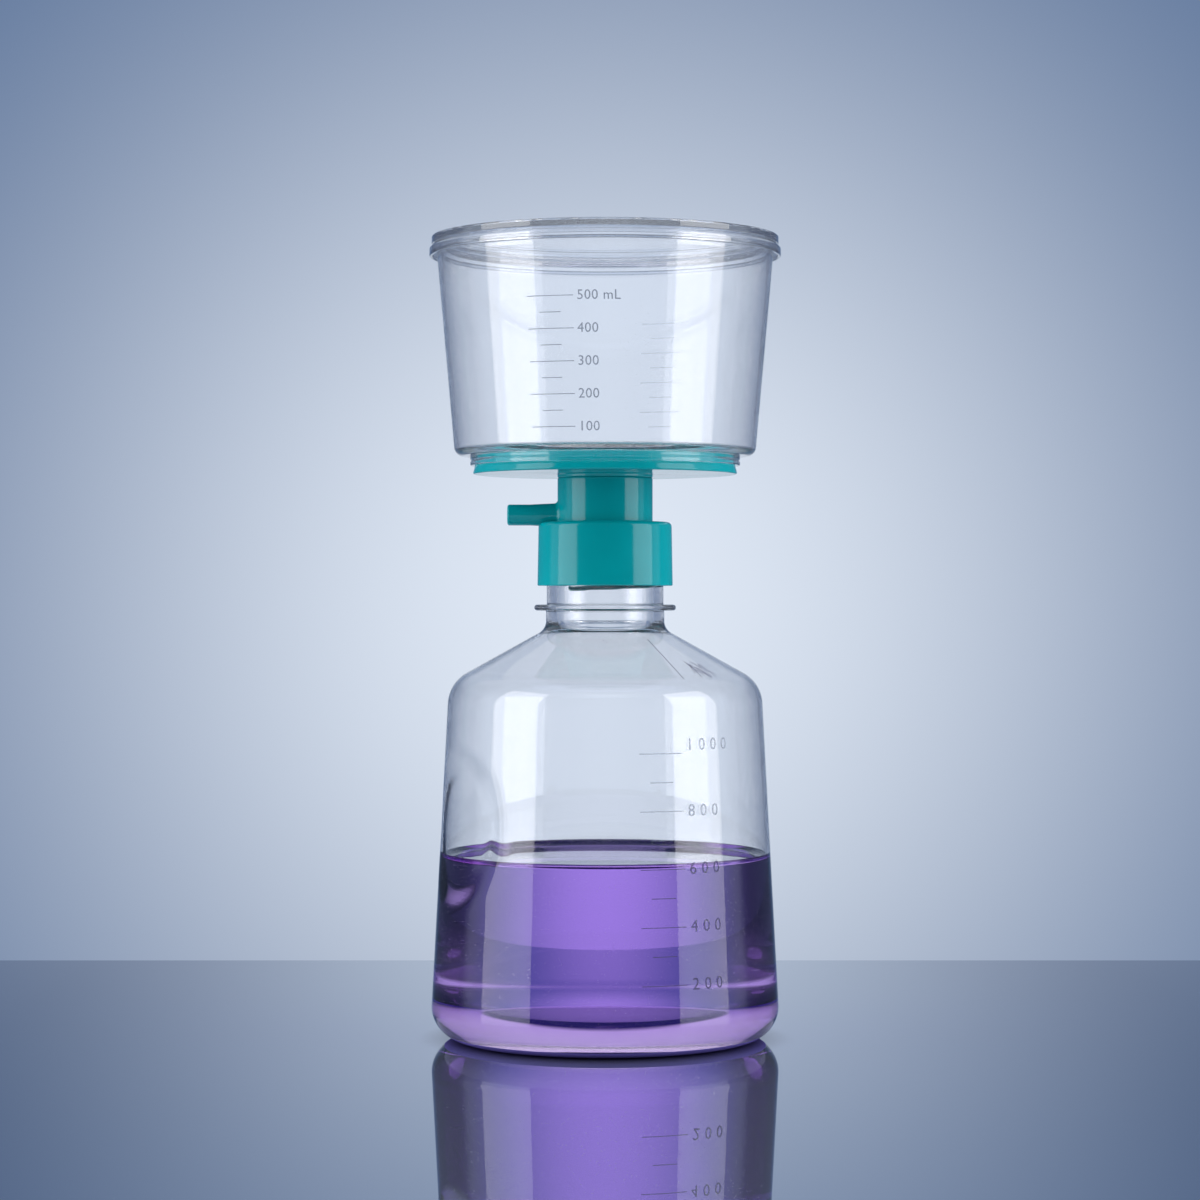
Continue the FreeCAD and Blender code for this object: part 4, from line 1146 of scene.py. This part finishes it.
def make_adapter(context):
    """Neck adapter: screw collar, stem and side arm."""
    bottle, thread = context.scene.bottle_sizes, context.scene.thread_sizes
    head = context.scene.head_sizes
    bore = bottle.neck_radius + thread.depth + thread.clearance
    foot = bore + head.collar_wall
    top = foot - head.collar_draft
    collar_top = COLLAR_ROOF + head.collar_roof
    stem_bore = head.stem_radius - head.stem_wall
    corners = [
        (bore, COLLAR_FOOT, ROUND),
        (foot, COLLAR_FOOT, ROUND),
        (top, collar_top, head.collar_round),
        (head.stem_radius, collar_top, ROUND),
        (head.stem_radius, STEM_TOP, head.seam),
        (stem_bore, STEM_TOP),
        (stem_bore, COLLAR_ROOF),
        (bore, COLLAR_ROOF),
    ]
    points = supported(rounded(corners, FINE))
    start = BOTTLE_TOP - thread.start_below_lip + thread.pitch / 2
    high = start + thread.pitch * thread.collar_turns + thread.root_width
    points = refined(points, start - thread.root_width, high, COLLAR_THREAD_STEP)

    def shape(places):
        inner = np.abs(from_axis(places) - bore) < thread.clearance / 2
        height = ridge(places, thread, start, thread.collar_turns) * thread.depth
        return widened(places, inner, -height)

    parts = [lathe(points, None, shape), arm_part(head)]
    replaces, slot = ["neck_adapter"], "teal_plastic"
    make_piece("adapter_moulding", parts, ["teal"], "filter_head", replaces, slot)


def rib_part(head, angle, inner, outer, low, high):
    """One drain rib, with a softened top."""
    half = head.rib_width / 2
    soft = half / 4
    section = [(-half, low), (half, low), (half, high - soft), (half - soft, high)]
    section += [(-half + soft, high), (-half, high - soft)]
    spin = Matrix.Rotation(angle, 3, "Z")
    vertices = [
        spin @ Vector((reach, across, up)) for reach in (inner, outer) for across, up in section
    ]
    count = len(section)
    ends = [list(range(count)), list(range(count, 2 * count))]
    return vertices, band(0, count, count) + ends


def make_base_plate(context):
    """Base plate: flange, drained seat with ribs, hub and drip spout."""
    head = context.scene.head_sizes
    gap = head.seat_gap
    spigot = head.stem_radius - head.stem_wall - gap
    seat = SUPPORT_RADIUS + gap * 2
    membrane_seat = MEMBRANE_RADIUS + gap * 2
    drain_edge = seat - head.seat_step
    flange_foot = FLANGE_TOP - head.flange_thickness
    low = flange_foot + head.plate_floor
    spigot_foot = STEM_TOP - head.spigot
    corners = [
        (head.drain_radius, SPOUT_FOOT),
        (head.spout_radius, SPOUT_FOOT),
        (head.spout_radius, spigot_foot),
        (spigot, spigot_foot),
        (spigot, STEM_TOP),
        (head.stem_radius, STEM_TOP, head.seam),
        (head.stem_radius, flange_foot, ROUND),
        (head.plate_radius + head.flange_flare, flange_foot, BLUNT),
        (head.plate_radius, FLANGE_TOP, 0),
        (head.plate_radius, PLATE_TOP),
        (membrane_seat, PLATE_TOP),
        (membrane_seat, MEMBRANE_FOOT, 0),
        (seat, MEMBRANE_FOOT, 0),
        (seat, LEDGE),
        (drain_edge, LEDGE),
        (drain_edge, low + head.drain_fall),
        (head.drain_radius, low),
    ]
    points = supported(rounded(corners, CRISP))

    def shape(places):
        cut = head.spout_bevel / 2 * (1 - places[:, 0] / head.spout_radius)
        near_foot = places[:, 2] < SPOUT_FOOT + 2 * EDGE_SUPPORT
        on_spout = near_foot & (from_axis(places) < head.spout_radius + gap)
        places[:, 2] += np.where(on_spout, cut, 0)
        return places

    parts = [lathe(points, None, shape)]
    for index in range(head.rib_count):
        angle = 2 * math.pi * index / head.rib_count
        inner = head.drain_radius * 2
        parts.append(rib_part(head, angle, inner, drain_edge + gap, low - gap, LEDGE))
    replaces, slot = ["base_plate"], "teal_plastic"
    make_piece("base_plate_moulding", parts, ["teal"], "filter_head", replaces, slot, head.crease)


# ---------------------------------------------------------------- funnel and lid


def funnel_radius(funnel, height):
    """Outer radius of the funnel's wall at a height."""
    floor = PLATE_TOP - funnel.lap
    opening = funnel.flare / (FUNNEL_TOP - floor)
    return funnel.foot_radius + opening * (height - floor)


def make_funnel(context):
    """Clear funnel with a skirted rim and a beaded foot ring."""
    funnel, head = context.scene.funnel_sizes, context.scene.head_sizes
    floor = PLATE_TOP - funnel.lap
    floor_top = floor + funnel.floor
    skirt_foot = FUNNEL_TOP - funnel.rim_skirt
    skirt_roof = skirt_foot + funnel.rim_wall
    skirt_inner = RIM_RADIUS - funnel.rim_wall
    ring_bore = head.plate_radius + head.seat_gap
    ring = ring_bore + funnel.ring_wall
    clamp = MEMBRANE_RADIUS - funnel.clamp_width
    inner_top = funnel_radius(funnel, FUNNEL_TOP) - funnel.wall
    inner_floor = funnel_radius(funnel, floor_top) - funnel.wall
    middle = (FLANGE_TOP + floor) / 2
    groove = funnel.ring_groove
    corners = [
        (ring_bore, FLANGE_TOP, CRISP),
        (ring, FLANGE_TOP, groove),
        (ring, middle - groove, groove / 2),
        (ring - groove, middle, groove / 3),
        (ring, middle + groove, groove / 2),
        (ring, floor, SOFT),
        (funnel.foot_radius, floor, funnel.heel_radius),
        (funnel_radius(funnel, skirt_roof), skirt_roof, ROUND),
        (skirt_inner, skirt_roof, ROUND),
        (skirt_inner, skirt_foot, ROUND),
        (RIM_RADIUS, skirt_foot, ROUND),
        (RIM_RADIUS, FUNNEL_TOP - funnel.rim_slope, BLUNT),
        (RIM_RADIUS - funnel.rim_slope, FUNNEL_TOP, BLUNT),
        (inner_top, FUNNEL_TOP, ROUND),
        (inner_floor, floor_top, funnel.inner_heel),
        (clamp, floor_top, SOFT),
        (clamp, PLATE_TOP, CRISP),
        (ring_bore, PLATE_TOP, CRISP),
    ]
    points = supported(rounded(corners, SOFT))
    parts, slot = [lathe(points)], "clear_plastic"
    make_piece("funnel_moulding", parts, ["funnel"], "filter_head", ["funnel"], slot)


def make_lid(context):
    """Clear lid: a shallow dish with a turned-down edge and a locating ring."""
    funnel = context.scene.funnel_sizes
    ring_outer = funnel_radius(funnel, LID_RING_FOOT) - funnel.wall - funnel.lid_clearance
    ring_inner = ring_outer - funnel.lid_ring_wall
    panel_top = FUNNEL_TOP + funnel.lid_thickness
    edge_foot = FUNNEL_TOP - funnel.lid_drop
    edge_inner = LID_RADIUS - funnel.lid_edge
    turn_down = RIM_RADIUS - funnel.rim_slope + funnel.lid_drop
    corners = [
        (0, FUNNEL_TOP),
        (ring_inner, FUNNEL_TOP, ROUND),
        (ring_inner, LID_RING_FOOT, SOFT),
        (ring_outer, LID_RING_FOOT, SOFT),
        (ring_outer, FUNNEL_TOP, SOFT),
        (turn_down, FUNNEL_TOP, CRISP),
        (turn_down + funnel.lid_drop * 2, edge_foot, CRISP),
        (LID_RADIUS, edge_foot, SOFT),
        (LID_RADIUS, LID_TOP, BLUNT),
        (edge_inner, LID_TOP, ROUND),
        (edge_inner, panel_top, ROUND),
        (0, panel_top),
    ]
    points = supported(rounded(corners, SOFT))
    make_piece("lid_moulding", [lathe(points)], ["lid"], "lid", ["lid"], "clear_plastic")


def dress_inner_parts(context):
    """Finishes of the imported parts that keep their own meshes."""
    wanted = {
        "membrane": "membrane",
        "support_plate": "white",
        "neck_gasket": "gasket",
        "sidearm_plug": "fibre",
    }
    for node, finish in wanted.items():
        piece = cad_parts[node]
        if not piece.material_slots:
            raise RuntimeError(f"{node} has no material slot")
        for slot in piece.material_slots:
            slot.material = finishes[finish]


# ---------------------------------------------------------------- graduations


def round_wall(radius_at):
    """A surface: the place and the outward normal at an angle and a height."""

    def surface(angle, height):
        out = Vector((math.cos(angle), math.sin(angle), 0))
        return out * radius_at(height) + Vector((0, 0, height)), out

    return surface


def line_part(surface, start, end, width, lift):
    """A flat line on a surface, between two pairs of angle and height."""
    count = max(2, math.ceil(abs(end[0] - start[0]) / LINE_STEP))
    spots = [
        surface(*(low + (high - low) * step / count for low, high in zip(start, end)))
        for step in range(count + 1)
    ]
    vertices = []
    for step, (place, out) in enumerate(spots):
        before, after = spots[max(0, step - 1)][0], spots[min(count, step + 1)][0]
        side = out.cross(after - before).normalized() * width / 2
        for across, rise in ((-1, 0), (1, 0), (1, 1), (-1, 1)):
            vertices.append(place + side * across + out * (lift + PRINT_THICKNESS * rise))
    faces = [face for step in range(count) for face in band(4 * step, 4 * step + 4, 4)]
    faces += [[0, 1, 2, 3], [count * 4 + corner for corner in (3, 2, 1, 0)]]
    return vertices, faces


def text_part(text, size, spacing, radius_at, start, height, lift):
    """Raised text laid onto a round wall, starting at an angle."""
    curve = bpy.data.curves.new("lettering", "FONT")
    curve.body = text
    curve.size = size * TEXT_SIZE_OF_DIGIT
    curve.align_y = "CENTER"
    curve.space_character = spacing
    curve.extrude = PRINT_THICKNESS / 2
    curve.resolution_u = 3
    writer = placed_object("lettering", curve)
    shown = writer.evaluated_get(bpy.context.evaluated_depsgraph_get())
    mesh = bpy.data.meshes.new_from_object(shown)
    vertices = []
    for x, y, z in (vertex.co for vertex in mesh.vertices):
        radius = radius_at(height + y) + lift + PRINT_THICKNESS / 2 + z
        angle = start + x / radius
        vertices.append((radius * math.cos(angle), radius * math.sin(angle), height + y))
    faces = [list(polygon.vertices) for polygon in mesh.polygons]
    bpy.data.objects.remove(writer)
    bpy.data.curves.remove(curve)
    bpy.data.meshes.remove(mesh)
    return vertices, faces


def scale_heights(top, bottom):
    """Heights of a scale's lines, from the top down."""
    return [top + (bottom - top) * step / SCALE_STEPS for step in range(SCALE_STEPS + 1)]


def scale_lines(radius_at, heights, middle, halves, scale):
    """Level lines at the heights, long and short in turn."""
    ends = [(middle - math.radians(half), middle + math.radians(half)) for half in halves]
    surface = round_wall(radius_at)
    lines = []
    for step, height in enumerate(heights):
        left, right = ends[step % 2]
        lines.append(line_part(surface, (left, height), (right, height), scale.line, scale.lift))
    return lines


def make_funnel_scale(context):
    """Printed scale on the front of the funnel, and a plain ladder of lines on its back."""
    scale = context.scene.scale_sizes
    wall = partial(funnel_radius, context.scene.funnel_sizes)
    heights = scale_heights(scale.funnel_top, scale.funnel_bottom)
    start = FRONT + scale.funnel_number_turn
    parts = scale_lines(wall, heights, FRONT + scale.funnel_turn, FUNNEL_HALVES, scale)
    for label, height in zip(("500 mL", "400", "300", "200", "100"), heights[::2]):
        parts.append(text_part(label, scale.digit, FUNNEL_SPACING, wall, start, height, scale.lift))
    make_piece("funnel_scale", parts, ["ink"], "filter_head", sharp=PRINT_CREASE)
    parts = scale_lines(wall, heights[:-1], BACK + scale.back_turn, BACK_HALVES, scale)
    make_piece("funnel_back_scale", parts, ["faint_ink"], "filter_head", sharp=PRINT_CREASE)


def make_bottle_scale(context):
    """Raised scale on the front of the bottle, with a painted darker shade where the liquid lies
    behind it.
    """
    scale = context.scene.scale_sizes
    wall = partial(body_radius, context.scene.bottle_sizes)
    heights = scale_heights(scale.bottle_top, scale.bottle_bottom)
    start, size = FRONT + scale.bottle_number_turn, scale.bottle_digit
    lines = scale_lines(wall, heights, FRONT + scale.bottle_turn, BOTTLE_HALVES, scale)
    parts = list(zip(heights, lines))
    for label, height in zip(("1000", "800", "600", "400", "200"), heights[::2]):
        level = height + scale.top_label_rise * (height == heights[0])
        number = text_part(label, size, BOTTLE_SPACING, wall, start, level, scale.lift)
        parts.append((height, number))
    dry = [part for height, part in parts if height > FILL_HEIGHT]
    # Lines and numbers over the liquid get the painted darker shade.
    wet = [part for height, part in parts if height <= FILL_HEIGHT]
    make_piece("bottle_scale", dry, ["moulded"], "bottle", sharp=PRINT_CREASE)
    make_piece("bottle_wet_scale", wet, ["wet_moulded"], "bottle", sharp=PRINT_CREASE)


# ---------------------------------------------------------------- wear and bubbles


def make_wear(context):
    """Fine scratches and specks on the bottle's shoulder."""
    sizes, scale = context.scene.bottle_sizes, context.scene.scale_sizes
    root = sizes.neck_radius + sizes.neck_root_step
    slope = sizes.shoulder_rise / (sizes.foot_radius - sizes.body_draft - root)
    steep = math.atan(1 / slope)

    def shoulder(angle, height):
        radius = root + (sizes.shoulder_height + sizes.shoulder_rise - height) / slope
        flat = Vector((math.cos(angle), math.sin(angle), 0))
        out = flat * math.cos(steep) + Vector((0, 0, math.sin(steep)))
        return flat * radius + Vector((0, 0, height)), out

    def spot(degrees, share):
        height = sizes.shoulder_height + sizes.shoulder_rise * share
        return FRONT + math.radians(degrees), height

    def scratch(start, end, width=1.0):
        return line_part(shoulder, start, end, scale.scratch * width, scale.lift)

    chance = random.Random(7)
    parts = [scratch(*(spot(*end) for end in LONG_SCRATCH))]
    for _ in range(SCRATCHES):
        degrees = chance.uniform(*PATCH_DEGREES)
        angle, height = spot(degrees, chance.uniform(*PATCH_SHARES))
        turned = angle + math.radians(chance.uniform(-SCRATCH_LEAN, SCRATCH_LEAN))
        end = (turned, height - chance.uniform(*SCRATCH_FALL))
        parts.append(scratch((angle, height), end, chance.uniform(0.4, 1)))
    for degrees, share in NECK_MARKS:
        parts.append(scratch(spot(degrees, share), spot(degrees + 0.7, share), 1.5))
    make_piece("shoulder_scratches", parts, ["scratch"], "bottle", sharp=PRINT_CREASE)


def bead_part(centre, radius, sides=8, rings=6):
    """A small sphere."""
    vertices = [centre + Vector((0, 0, -radius))]
    for ring in range(1, rings):
        tilt = math.pi * ring / rings
        for side in range(sides):
            angle = 2 * math.pi * side / sides
            flat = Vector((math.cos(angle), math.sin(angle), 0)) * math.sin(tilt)
            vertices.append(centre + (flat + Vector((0, 0, -math.cos(tilt)))) * radius)
    vertices.append(centre + Vector((0, 0, radius)))
    last = len(vertices) - 1
    faces = []
    for side in range(sides):
        beside = (side + 1) % sides
        faces.append([0, 1 + beside, 1 + side])
        faces.append([last, last - sides + side, last - sides + beside])
    for ring in range(rings - 2):
        faces += band(1 + ring * sides, 1 + (ring + 1) * sides, sides)
    return vertices, faces


def make_bubbles(context):
    """Small bubbles that the filtrate carries round its edge."""
    sizes = context.scene.bottle_sizes
    wall = body_radius(sizes, FILL_HEIGHT) - sizes.wall
    chance = random.Random(11)
    parts = []
    for middle, half, count in BUBBLE_ARCS:
        for _ in range(count):
            angle = middle + chance.uniform(-half, half)
            radius = sizes.least_bubble + sizes.bubble_spread * chance.random() ** 3
            from_wall = radius * 1.3 + sizes.bubble_reach * chance.random() ** 2
            level = liquid_level(sizes, from_wall) + radius * 0.4
            reach = wall - from_wall
            centre = Vector((reach * math.cos(angle), reach * math.sin(angle), level))
            parts.append(bead_part(centre, radius))
    make_piece("edge_bubbles", parts, ["bubble"], "bottle")


# ---------------------------------------------------------------- stage


def box_part(low, high):
    """A plain box between two corners."""
    places = [
        (x, y, z) for x in (low[0], high[0]) for y in (low[1], high[1]) for z in (low[2], high[2])
    ]
    faces = [[0, 1, 3, 2], [4, 6, 7, 5], [0, 4, 5, 1], [2, 3, 7, 6], [0, 2, 6, 4], [1, 5, 7, 3]]
    return places, faces


def table_finish(stage):
    """Pale polished table with painted shade to the sides, painted light where it is seen through
    the unit, a painted shadow where the unit stands, and a mirror at a grazing look.
    """
    material, tree, position = new_finish("table_top")
    x, reach, _ = round_axis(tree, position)
    side = maths(tree, "ABSOLUTE", x)
    # Painted shade: the table darkens away from the unit to the sides, with a faint cloud.
    away = between(tree, side, *PAINTED_TABLE_SHADE_FADE)
    cloud = layered(tree, away, (noise(tree, position, 3.0), 0.06))
    shown = blended(tree, cloud, stage.table, stage.table_side_painted_shade)
    # Painted shadow under the unit, fading out round its foot.
    painted_contact_shadow = between(tree, reach, *PAINTED_SHADOW_FADE, stage.painted_contact_shadow_strength, 0.0)
    shown = blended(tree, painted_contact_shadow, shown, stage.painted_contact_shadow)
    # Painted light: seen through the unit, the table is white in the middle and takes the dark wings'
    # colour to the sides.
    through = blended(tree, between(tree, side, *PAINTED_THROUGH_LIGHT_FADE), WHITE, stage.bent_wings)
    bent = add_node(tree, "ShaderNodeLightPath").outputs["Is Transmission Ray"]
    facing = add_node(tree, "ShaderNodeLayerWeight", {"Blend": 0.5}).outputs["Facing"]
    grazing = between(tree, facing, *GRAZING)
    smear = maths(tree, "MULTIPLY", noise(tree, position, 25.0, detail=3.0), 0.004)
    satin = layered(tree, 0.35, (grazing, -0.35))
    set_skin(
        tree,
        IOR=PLASTIC_INDEX,
        Base_Color=blended(tree, bent, shown, through),
        Metallic=layered(tree, 0.1, (grazing, 0.8)),
        Roughness=maths(tree, "ADD", smear, satin),
    )
    return material


def make_table(stage):
    """The table top that the unit stands on."""
    low = (-stage.table_reach, -stage.table_front, -stage.table_thickness)
    vertices, faces = box_part(low, (stage.table_reach, stage.table_back, 0))
    mesh = bpy.data.meshes.new("table_top")
    mesh.from_pydata(vertices, [], faces)
    mesh.materials.append(table_finish(stage))
    table = placed_object("table_top", mesh)
    bevel = table.modifiers.new("edge", "BEVEL")
    bevel.width = stage.table_bevel
    bevel.segments = 3


def zone(tree, angle, edges):
    """A smooth step of an angle between two edges in degrees."""
    return between(tree, angle, *map(math.radians, edges))


def backdrop_colour(tree, stage, path, across, up):
    """The lit patch of backdrop behind the unit, and its wings, which clear parts show darker."""
    bent = path["Is Transmission Ray"]
    fall = 0.0
    for angle, spread in ((across, stage.bent_across), (up, stage.bent_up)):
        narrow, wide = -0.5 / stage.spot_spread**2, -0.5 / spread**2
        rate = maths(tree, "MULTIPLY_ADD", bent, wide - narrow, narrow)
        square = maths(tree, "MULTIPLY", angle, angle)
        fall = maths(tree, "MULTIPLY_ADD", square, rate, fall)
    edge = blended(tree, zone(tree, across, WINGS), stage.dim, stage.wings)
    filled = maths(tree, "GREATER_THAN", path["Transmission Depth"], EMPTY_SKINS)
    far = maths(tree, "MULTIPLY", zone(tree, across, BENT_WINGS), filled)
    edge = blended(tree, far, edge, stage.bent_wings)
    thin = maths(tree, "MULTIPLY", bent, maths(tree, "SUBTRACT", 1.0, filled))
    edge = blended(tree, thin, edge, stage.thin_wings)
    return blended(tree, maths(tree, "EXPONENT", fall), edge, stage.bright)


def room_colour(tree, stage, path, across, up, backdrop):
    """The room round the backdrop: its sides, its unlit front and its ceiling."""
    above = zone(tree, maths(tree, "ABSOLUTE", up), ABOVE)
    straight = maths(tree, "SUBTRACT", 1.0, path["Is Transmission Ray"])
    above = maths(tree, "MULTIPLY", above, straight)
    outside = maths(tree, "MAXIMUM", zone(tree, across, BESIDE), above)
    surround = blended(tree, path["Is Glossy Ray"], stage.surround, stage.surround_gloss)
    room = blended(tree, outside, backdrop, surround)
    front = maths(tree, "MULTIPLY", zone(tree, up, OVER_TABLE), zone(tree, up, UNDER_LIGHT))
    front = maths(tree, "MULTIPLY", zone(tree, across, BEHIND_LAMPS), front)
    room = blended(tree, front, room, stage.front)
    return blended(tree, zone(tree, up, CEILING), room, stage.ceiling)


def fill_colour(tree, stage, x, z):
    """Light on the matt pieces: from all round, more from the sides and from above."""
    sideways = maths(tree, "POWER", maths(tree, "ABSOLUTE", x), 4.0)
    overhead = maths(tree, "MAXIMUM", z, 0.0)
    sources = (sideways, stage.side_fill), (overhead, stage.top_fill)
    level = layered(tree, stage.even_fill, *sources)
    return blended(tree, level, BLACK, stage.fill, clamp=False)


def make_world(stage):
    """A pale room as the camera and clear parts see it, and the light that it gives."""
    world = bpy.data.worlds.new("studio")
    bpy.context.scene.world = world
    world.use_nodes = True
    tree = world.node_tree
    tree.nodes.clear()
    way = add_node(tree, "ShaderNodeTexCoord").outputs["Generated"]
    x, y, z = add_node(tree, "ShaderNodeSeparateXYZ", {"Vector": way}).outputs
    across = maths(tree, "ARCTAN2", maths(tree, "ABSOLUTE", x), y)
    up = maths(tree, "ARCSINE", z)
    path = add_node(tree, "ShaderNodeLightPath").outputs
    backdrop = backdrop_colour(tree, stage, path, across, up)
    room = room_colour(tree, stage, path, across, up, backdrop)
    seen = maths(tree, "ADD", path["Is Camera Ray"], path["Is Glossy Ray"])
    seen = maths(tree, "ADD", seen, path["Is Transmission Ray"], clamp=True)
    light = blended(tree, seen, fill_colour(tree, stage, x, z), room)
    background = add_node(tree, "ShaderNodeBackground", {"Color": light, "Strength": 1.0})
    surface = {"Surface": background.outputs["Background"]}
    add_node(tree, "ShaderNodeOutputWorld", surface)


def hide_behind_clear(lamp):
    """Hides a softbox from light that only passed through clear parts and met no gloss."""
    lamp.use_nodes = True
    tree = lamp.node_tree
    path = add_node(tree, "ShaderNodeLightPath").outputs
    straight = maths(tree, "LESS_THAN", path["Glossy Depth"], 0.5)
    hidden = maths(tree, "MULTIPLY", path["Is Transmission Ray"], straight)
    feed(tree, tree.nodes["Emission"], {"Strength": maths(tree, "SUBTRACT", 1.0, hidden)})


def make_lamps(stage):
    """Two tall softboxes, one at each side in front of the unit."""
    for name, side in (("left_softbox", -1), ("right_softbox", 1)):
        lamp = bpy.data.lights.new(name, "AREA")
        lamp.shape = "RECTANGLE"
        lamp.size = stage.lamp_width
        lamp.size_y = stage.lamp_height
        lamp.energy = stage.lamp_power
        lamp.color = stage.lamp_colour[:3]
        angle = FRONT + side * stage.lamp_angle
        out = Vector((math.cos(angle), math.sin(angle), 0))
        holder = placed_object(name, lamp)
        height = stage.lamp_height / 2 - stage.lamp_drop
        holder.location = out * stage.lamp_distance + Vector((0, 0, height))
        holder.rotation_euler = (-out).to_track_quat("-Z", "Y").to_euler()
        holder.visible_camera = False
        hide_behind_clear(lamp)


def make_camera(stage):
    """Camera straight in front of the unit, level with the bottle's neck."""
    camera = bpy.data.cameras.new("camera")
    camera.sensor_width = 36
    camera.lens = stage.lens
    holder = placed_object("camera", camera)
    holder.location = (-stage.eye_side, -stage.eye_distance, stage.eye_height)
    holder.rotation_euler = (math.pi / 2, 0, 0)
    bpy.context.scene.camera = holder


def make_stage(context):
    """Table, room, lamps, camera and plain colours."""
    stage = context.scene.stage_sizes
    for make in (make_table, make_world, make_lamps, make_camera):
        make(stage)
    context.scene.view_settings.view_transform = "Standard"


# ---------------------------------------------------------------- operators and panel


class FILTRATION_OT_stage(bpy.types.Operator):
    """Add the table, the room, the lamps and the camera"""

    bl_idname = "filtration.stage"
    bl_label = "Stage"

    def execute(self, context):
        make_stage(context)
        return {"FINISHED"}


class FILTRATION_OT_finishes(bpy.types.Operator):
    """Make every material of the unit"""

    bl_idname = "filtration.finishes"
    bl_label = "Finishes"

    def execute(self, context):
        make_finishes()
        return {"FINISHED"}


class FILTRATION_OT_bottle(bpy.types.Operator):
    """Add the receiver bottle"""

    bl_idname = "filtration.bottle"
    bl_label = "Bottle"

    def execute(self, context):
        make_bottle(context)
        return {"FINISHED"}


class FILTRATION_OT_filtrate(bpy.types.Operator):
    """Add the violet liquid"""

    bl_idname = "filtration.filtrate"
    bl_label = "Filtrate"

    def execute(self, context):
        make_filtrate(context)
        return {"FINISHED"}


class FILTRATION_OT_adapter(bpy.types.Operator):
    """Add the neck adapter with its side arm"""

    bl_idname = "filtration.adapter"
    bl_label = "Neck adapter"

    def execute(self, context):
        make_adapter(context)
        return {"FINISHED"}


class FILTRATION_OT_base_plate(bpy.types.Operator):
    """Add the base plate with its drip spout"""

    bl_idname = "filtration.base_plate"
    bl_label = "Base plate"

    def execute(self, context):
        make_base_plate(context)
        return {"FINISHED"}


class FILTRATION_OT_funnel(bpy.types.Operator):
    """Add the clear funnel"""

    bl_idname = "filtration.funnel"
    bl_label = "Funnel"

    def execute(self, context):
        make_funnel(context)
        return {"FINISHED"}


class FILTRATION_OT_lid(bpy.types.Operator):
    """Add the clear lid"""

    bl_idname = "filtration.lid"
    bl_label = "Lid"

    def execute(self, context):
        make_lid(context)
        return {"FINISHED"}


class FILTRATION_OT_inner_parts(bpy.types.Operator):
    """Give the membrane, support plate, gasket and plug their finishes"""

    bl_idname = "filtration.inner_parts"
    bl_label = "Inner parts"

    def execute(self, context):
        dress_inner_parts(context)
        return {"FINISHED"}


class FILTRATION_OT_scales(bpy.types.Operator):
    """Add the graduations of funnel and bottle"""

    bl_idname = "filtration.scales"
    bl_label = "Scales"

    def execute(self, context):
        make_funnel_scale(context)
        make_bottle_scale(context)
        return {"FINISHED"}


class FILTRATION_OT_wear(bpy.types.Operator):
    """Add the scratches on the shoulder and the bubbles in the liquid"""

    bl_idname = "filtration.wear"
    bl_label = "Wear and bubbles"

    def execute(self, context):
        make_wear(context)
        make_bubbles(context)
        return {"FINISHED"}


OPERATORS = (
    FILTRATION_OT_finishes,
    FILTRATION_OT_stage,
    FILTRATION_OT_bottle,
    FILTRATION_OT_filtrate,
    FILTRATION_OT_adapter,
    FILTRATION_OT_base_plate,
    FILTRATION_OT_funnel,
    FILTRATION_OT_lid,
    FILTRATION_OT_inner_parts,
    FILTRATION_OT_scales,
    FILTRATION_OT_wear,
)
PROPERTIES = {
    "bottle_sizes": BottleSizes,
    "thread_sizes": ThreadSizes,
    "head_sizes": HeadSizes,
    "funnel_sizes": FunnelSizes,
    "scale_sizes": ScaleSizes,
    "finish_colours": FinishColours,
    "stage_sizes": StageSizes,
}


class FILTRATION_PT_panel(bpy.types.Panel):
    """Operators and sizes of the filtration unit"""

    bl_label = "Filtration unit"
    bl_idname = "FILTRATION_PT_panel"
    bl_space_type = "VIEW_3D"
    bl_region_type = "UI"
    bl_category = "Filtration unit"

    def draw(self, context):
        for operator in OPERATORS:
            self.layout.operator(operator.bl_idname)
        for name in PROPERTIES:
            group = getattr(context.scene, name)
            box = self.layout.box()
            box.label(text=name.replace("_", " ").capitalize())
            for field in group.__annotations__:
                box.prop(group, field)


def register():
    """Registers the property groups, the operators and the panel."""
    for name, group in PROPERTIES.items():
        bpy.utils.register_class(group)
        setattr(bpy.types.Scene, name, PointerProperty(type=group))
    for operator in OPERATORS:
        bpy.utils.register_class(operator)
    bpy.utils.register_class(FILTRATION_PT_panel)


def unregister():
    """Takes everything that register added away again."""
    bpy.utils.unregister_class(FILTRATION_PT_panel)
    for operator in reversed(OPERATORS):
        bpy.utils.unregister_class(operator)
    for name, group in PROPERTIES.items():
        delattr(bpy.types.Scene, name)
        bpy.utils.unregister_class(group)


def main():
    """Builds the unit and its stage."""
    register()
    for operator in OPERATORS:
        category, name = operator.bl_idname.split(".")
        getattr(getattr(bpy.ops, category), name)()


if __name__ == "__main__":
    main()
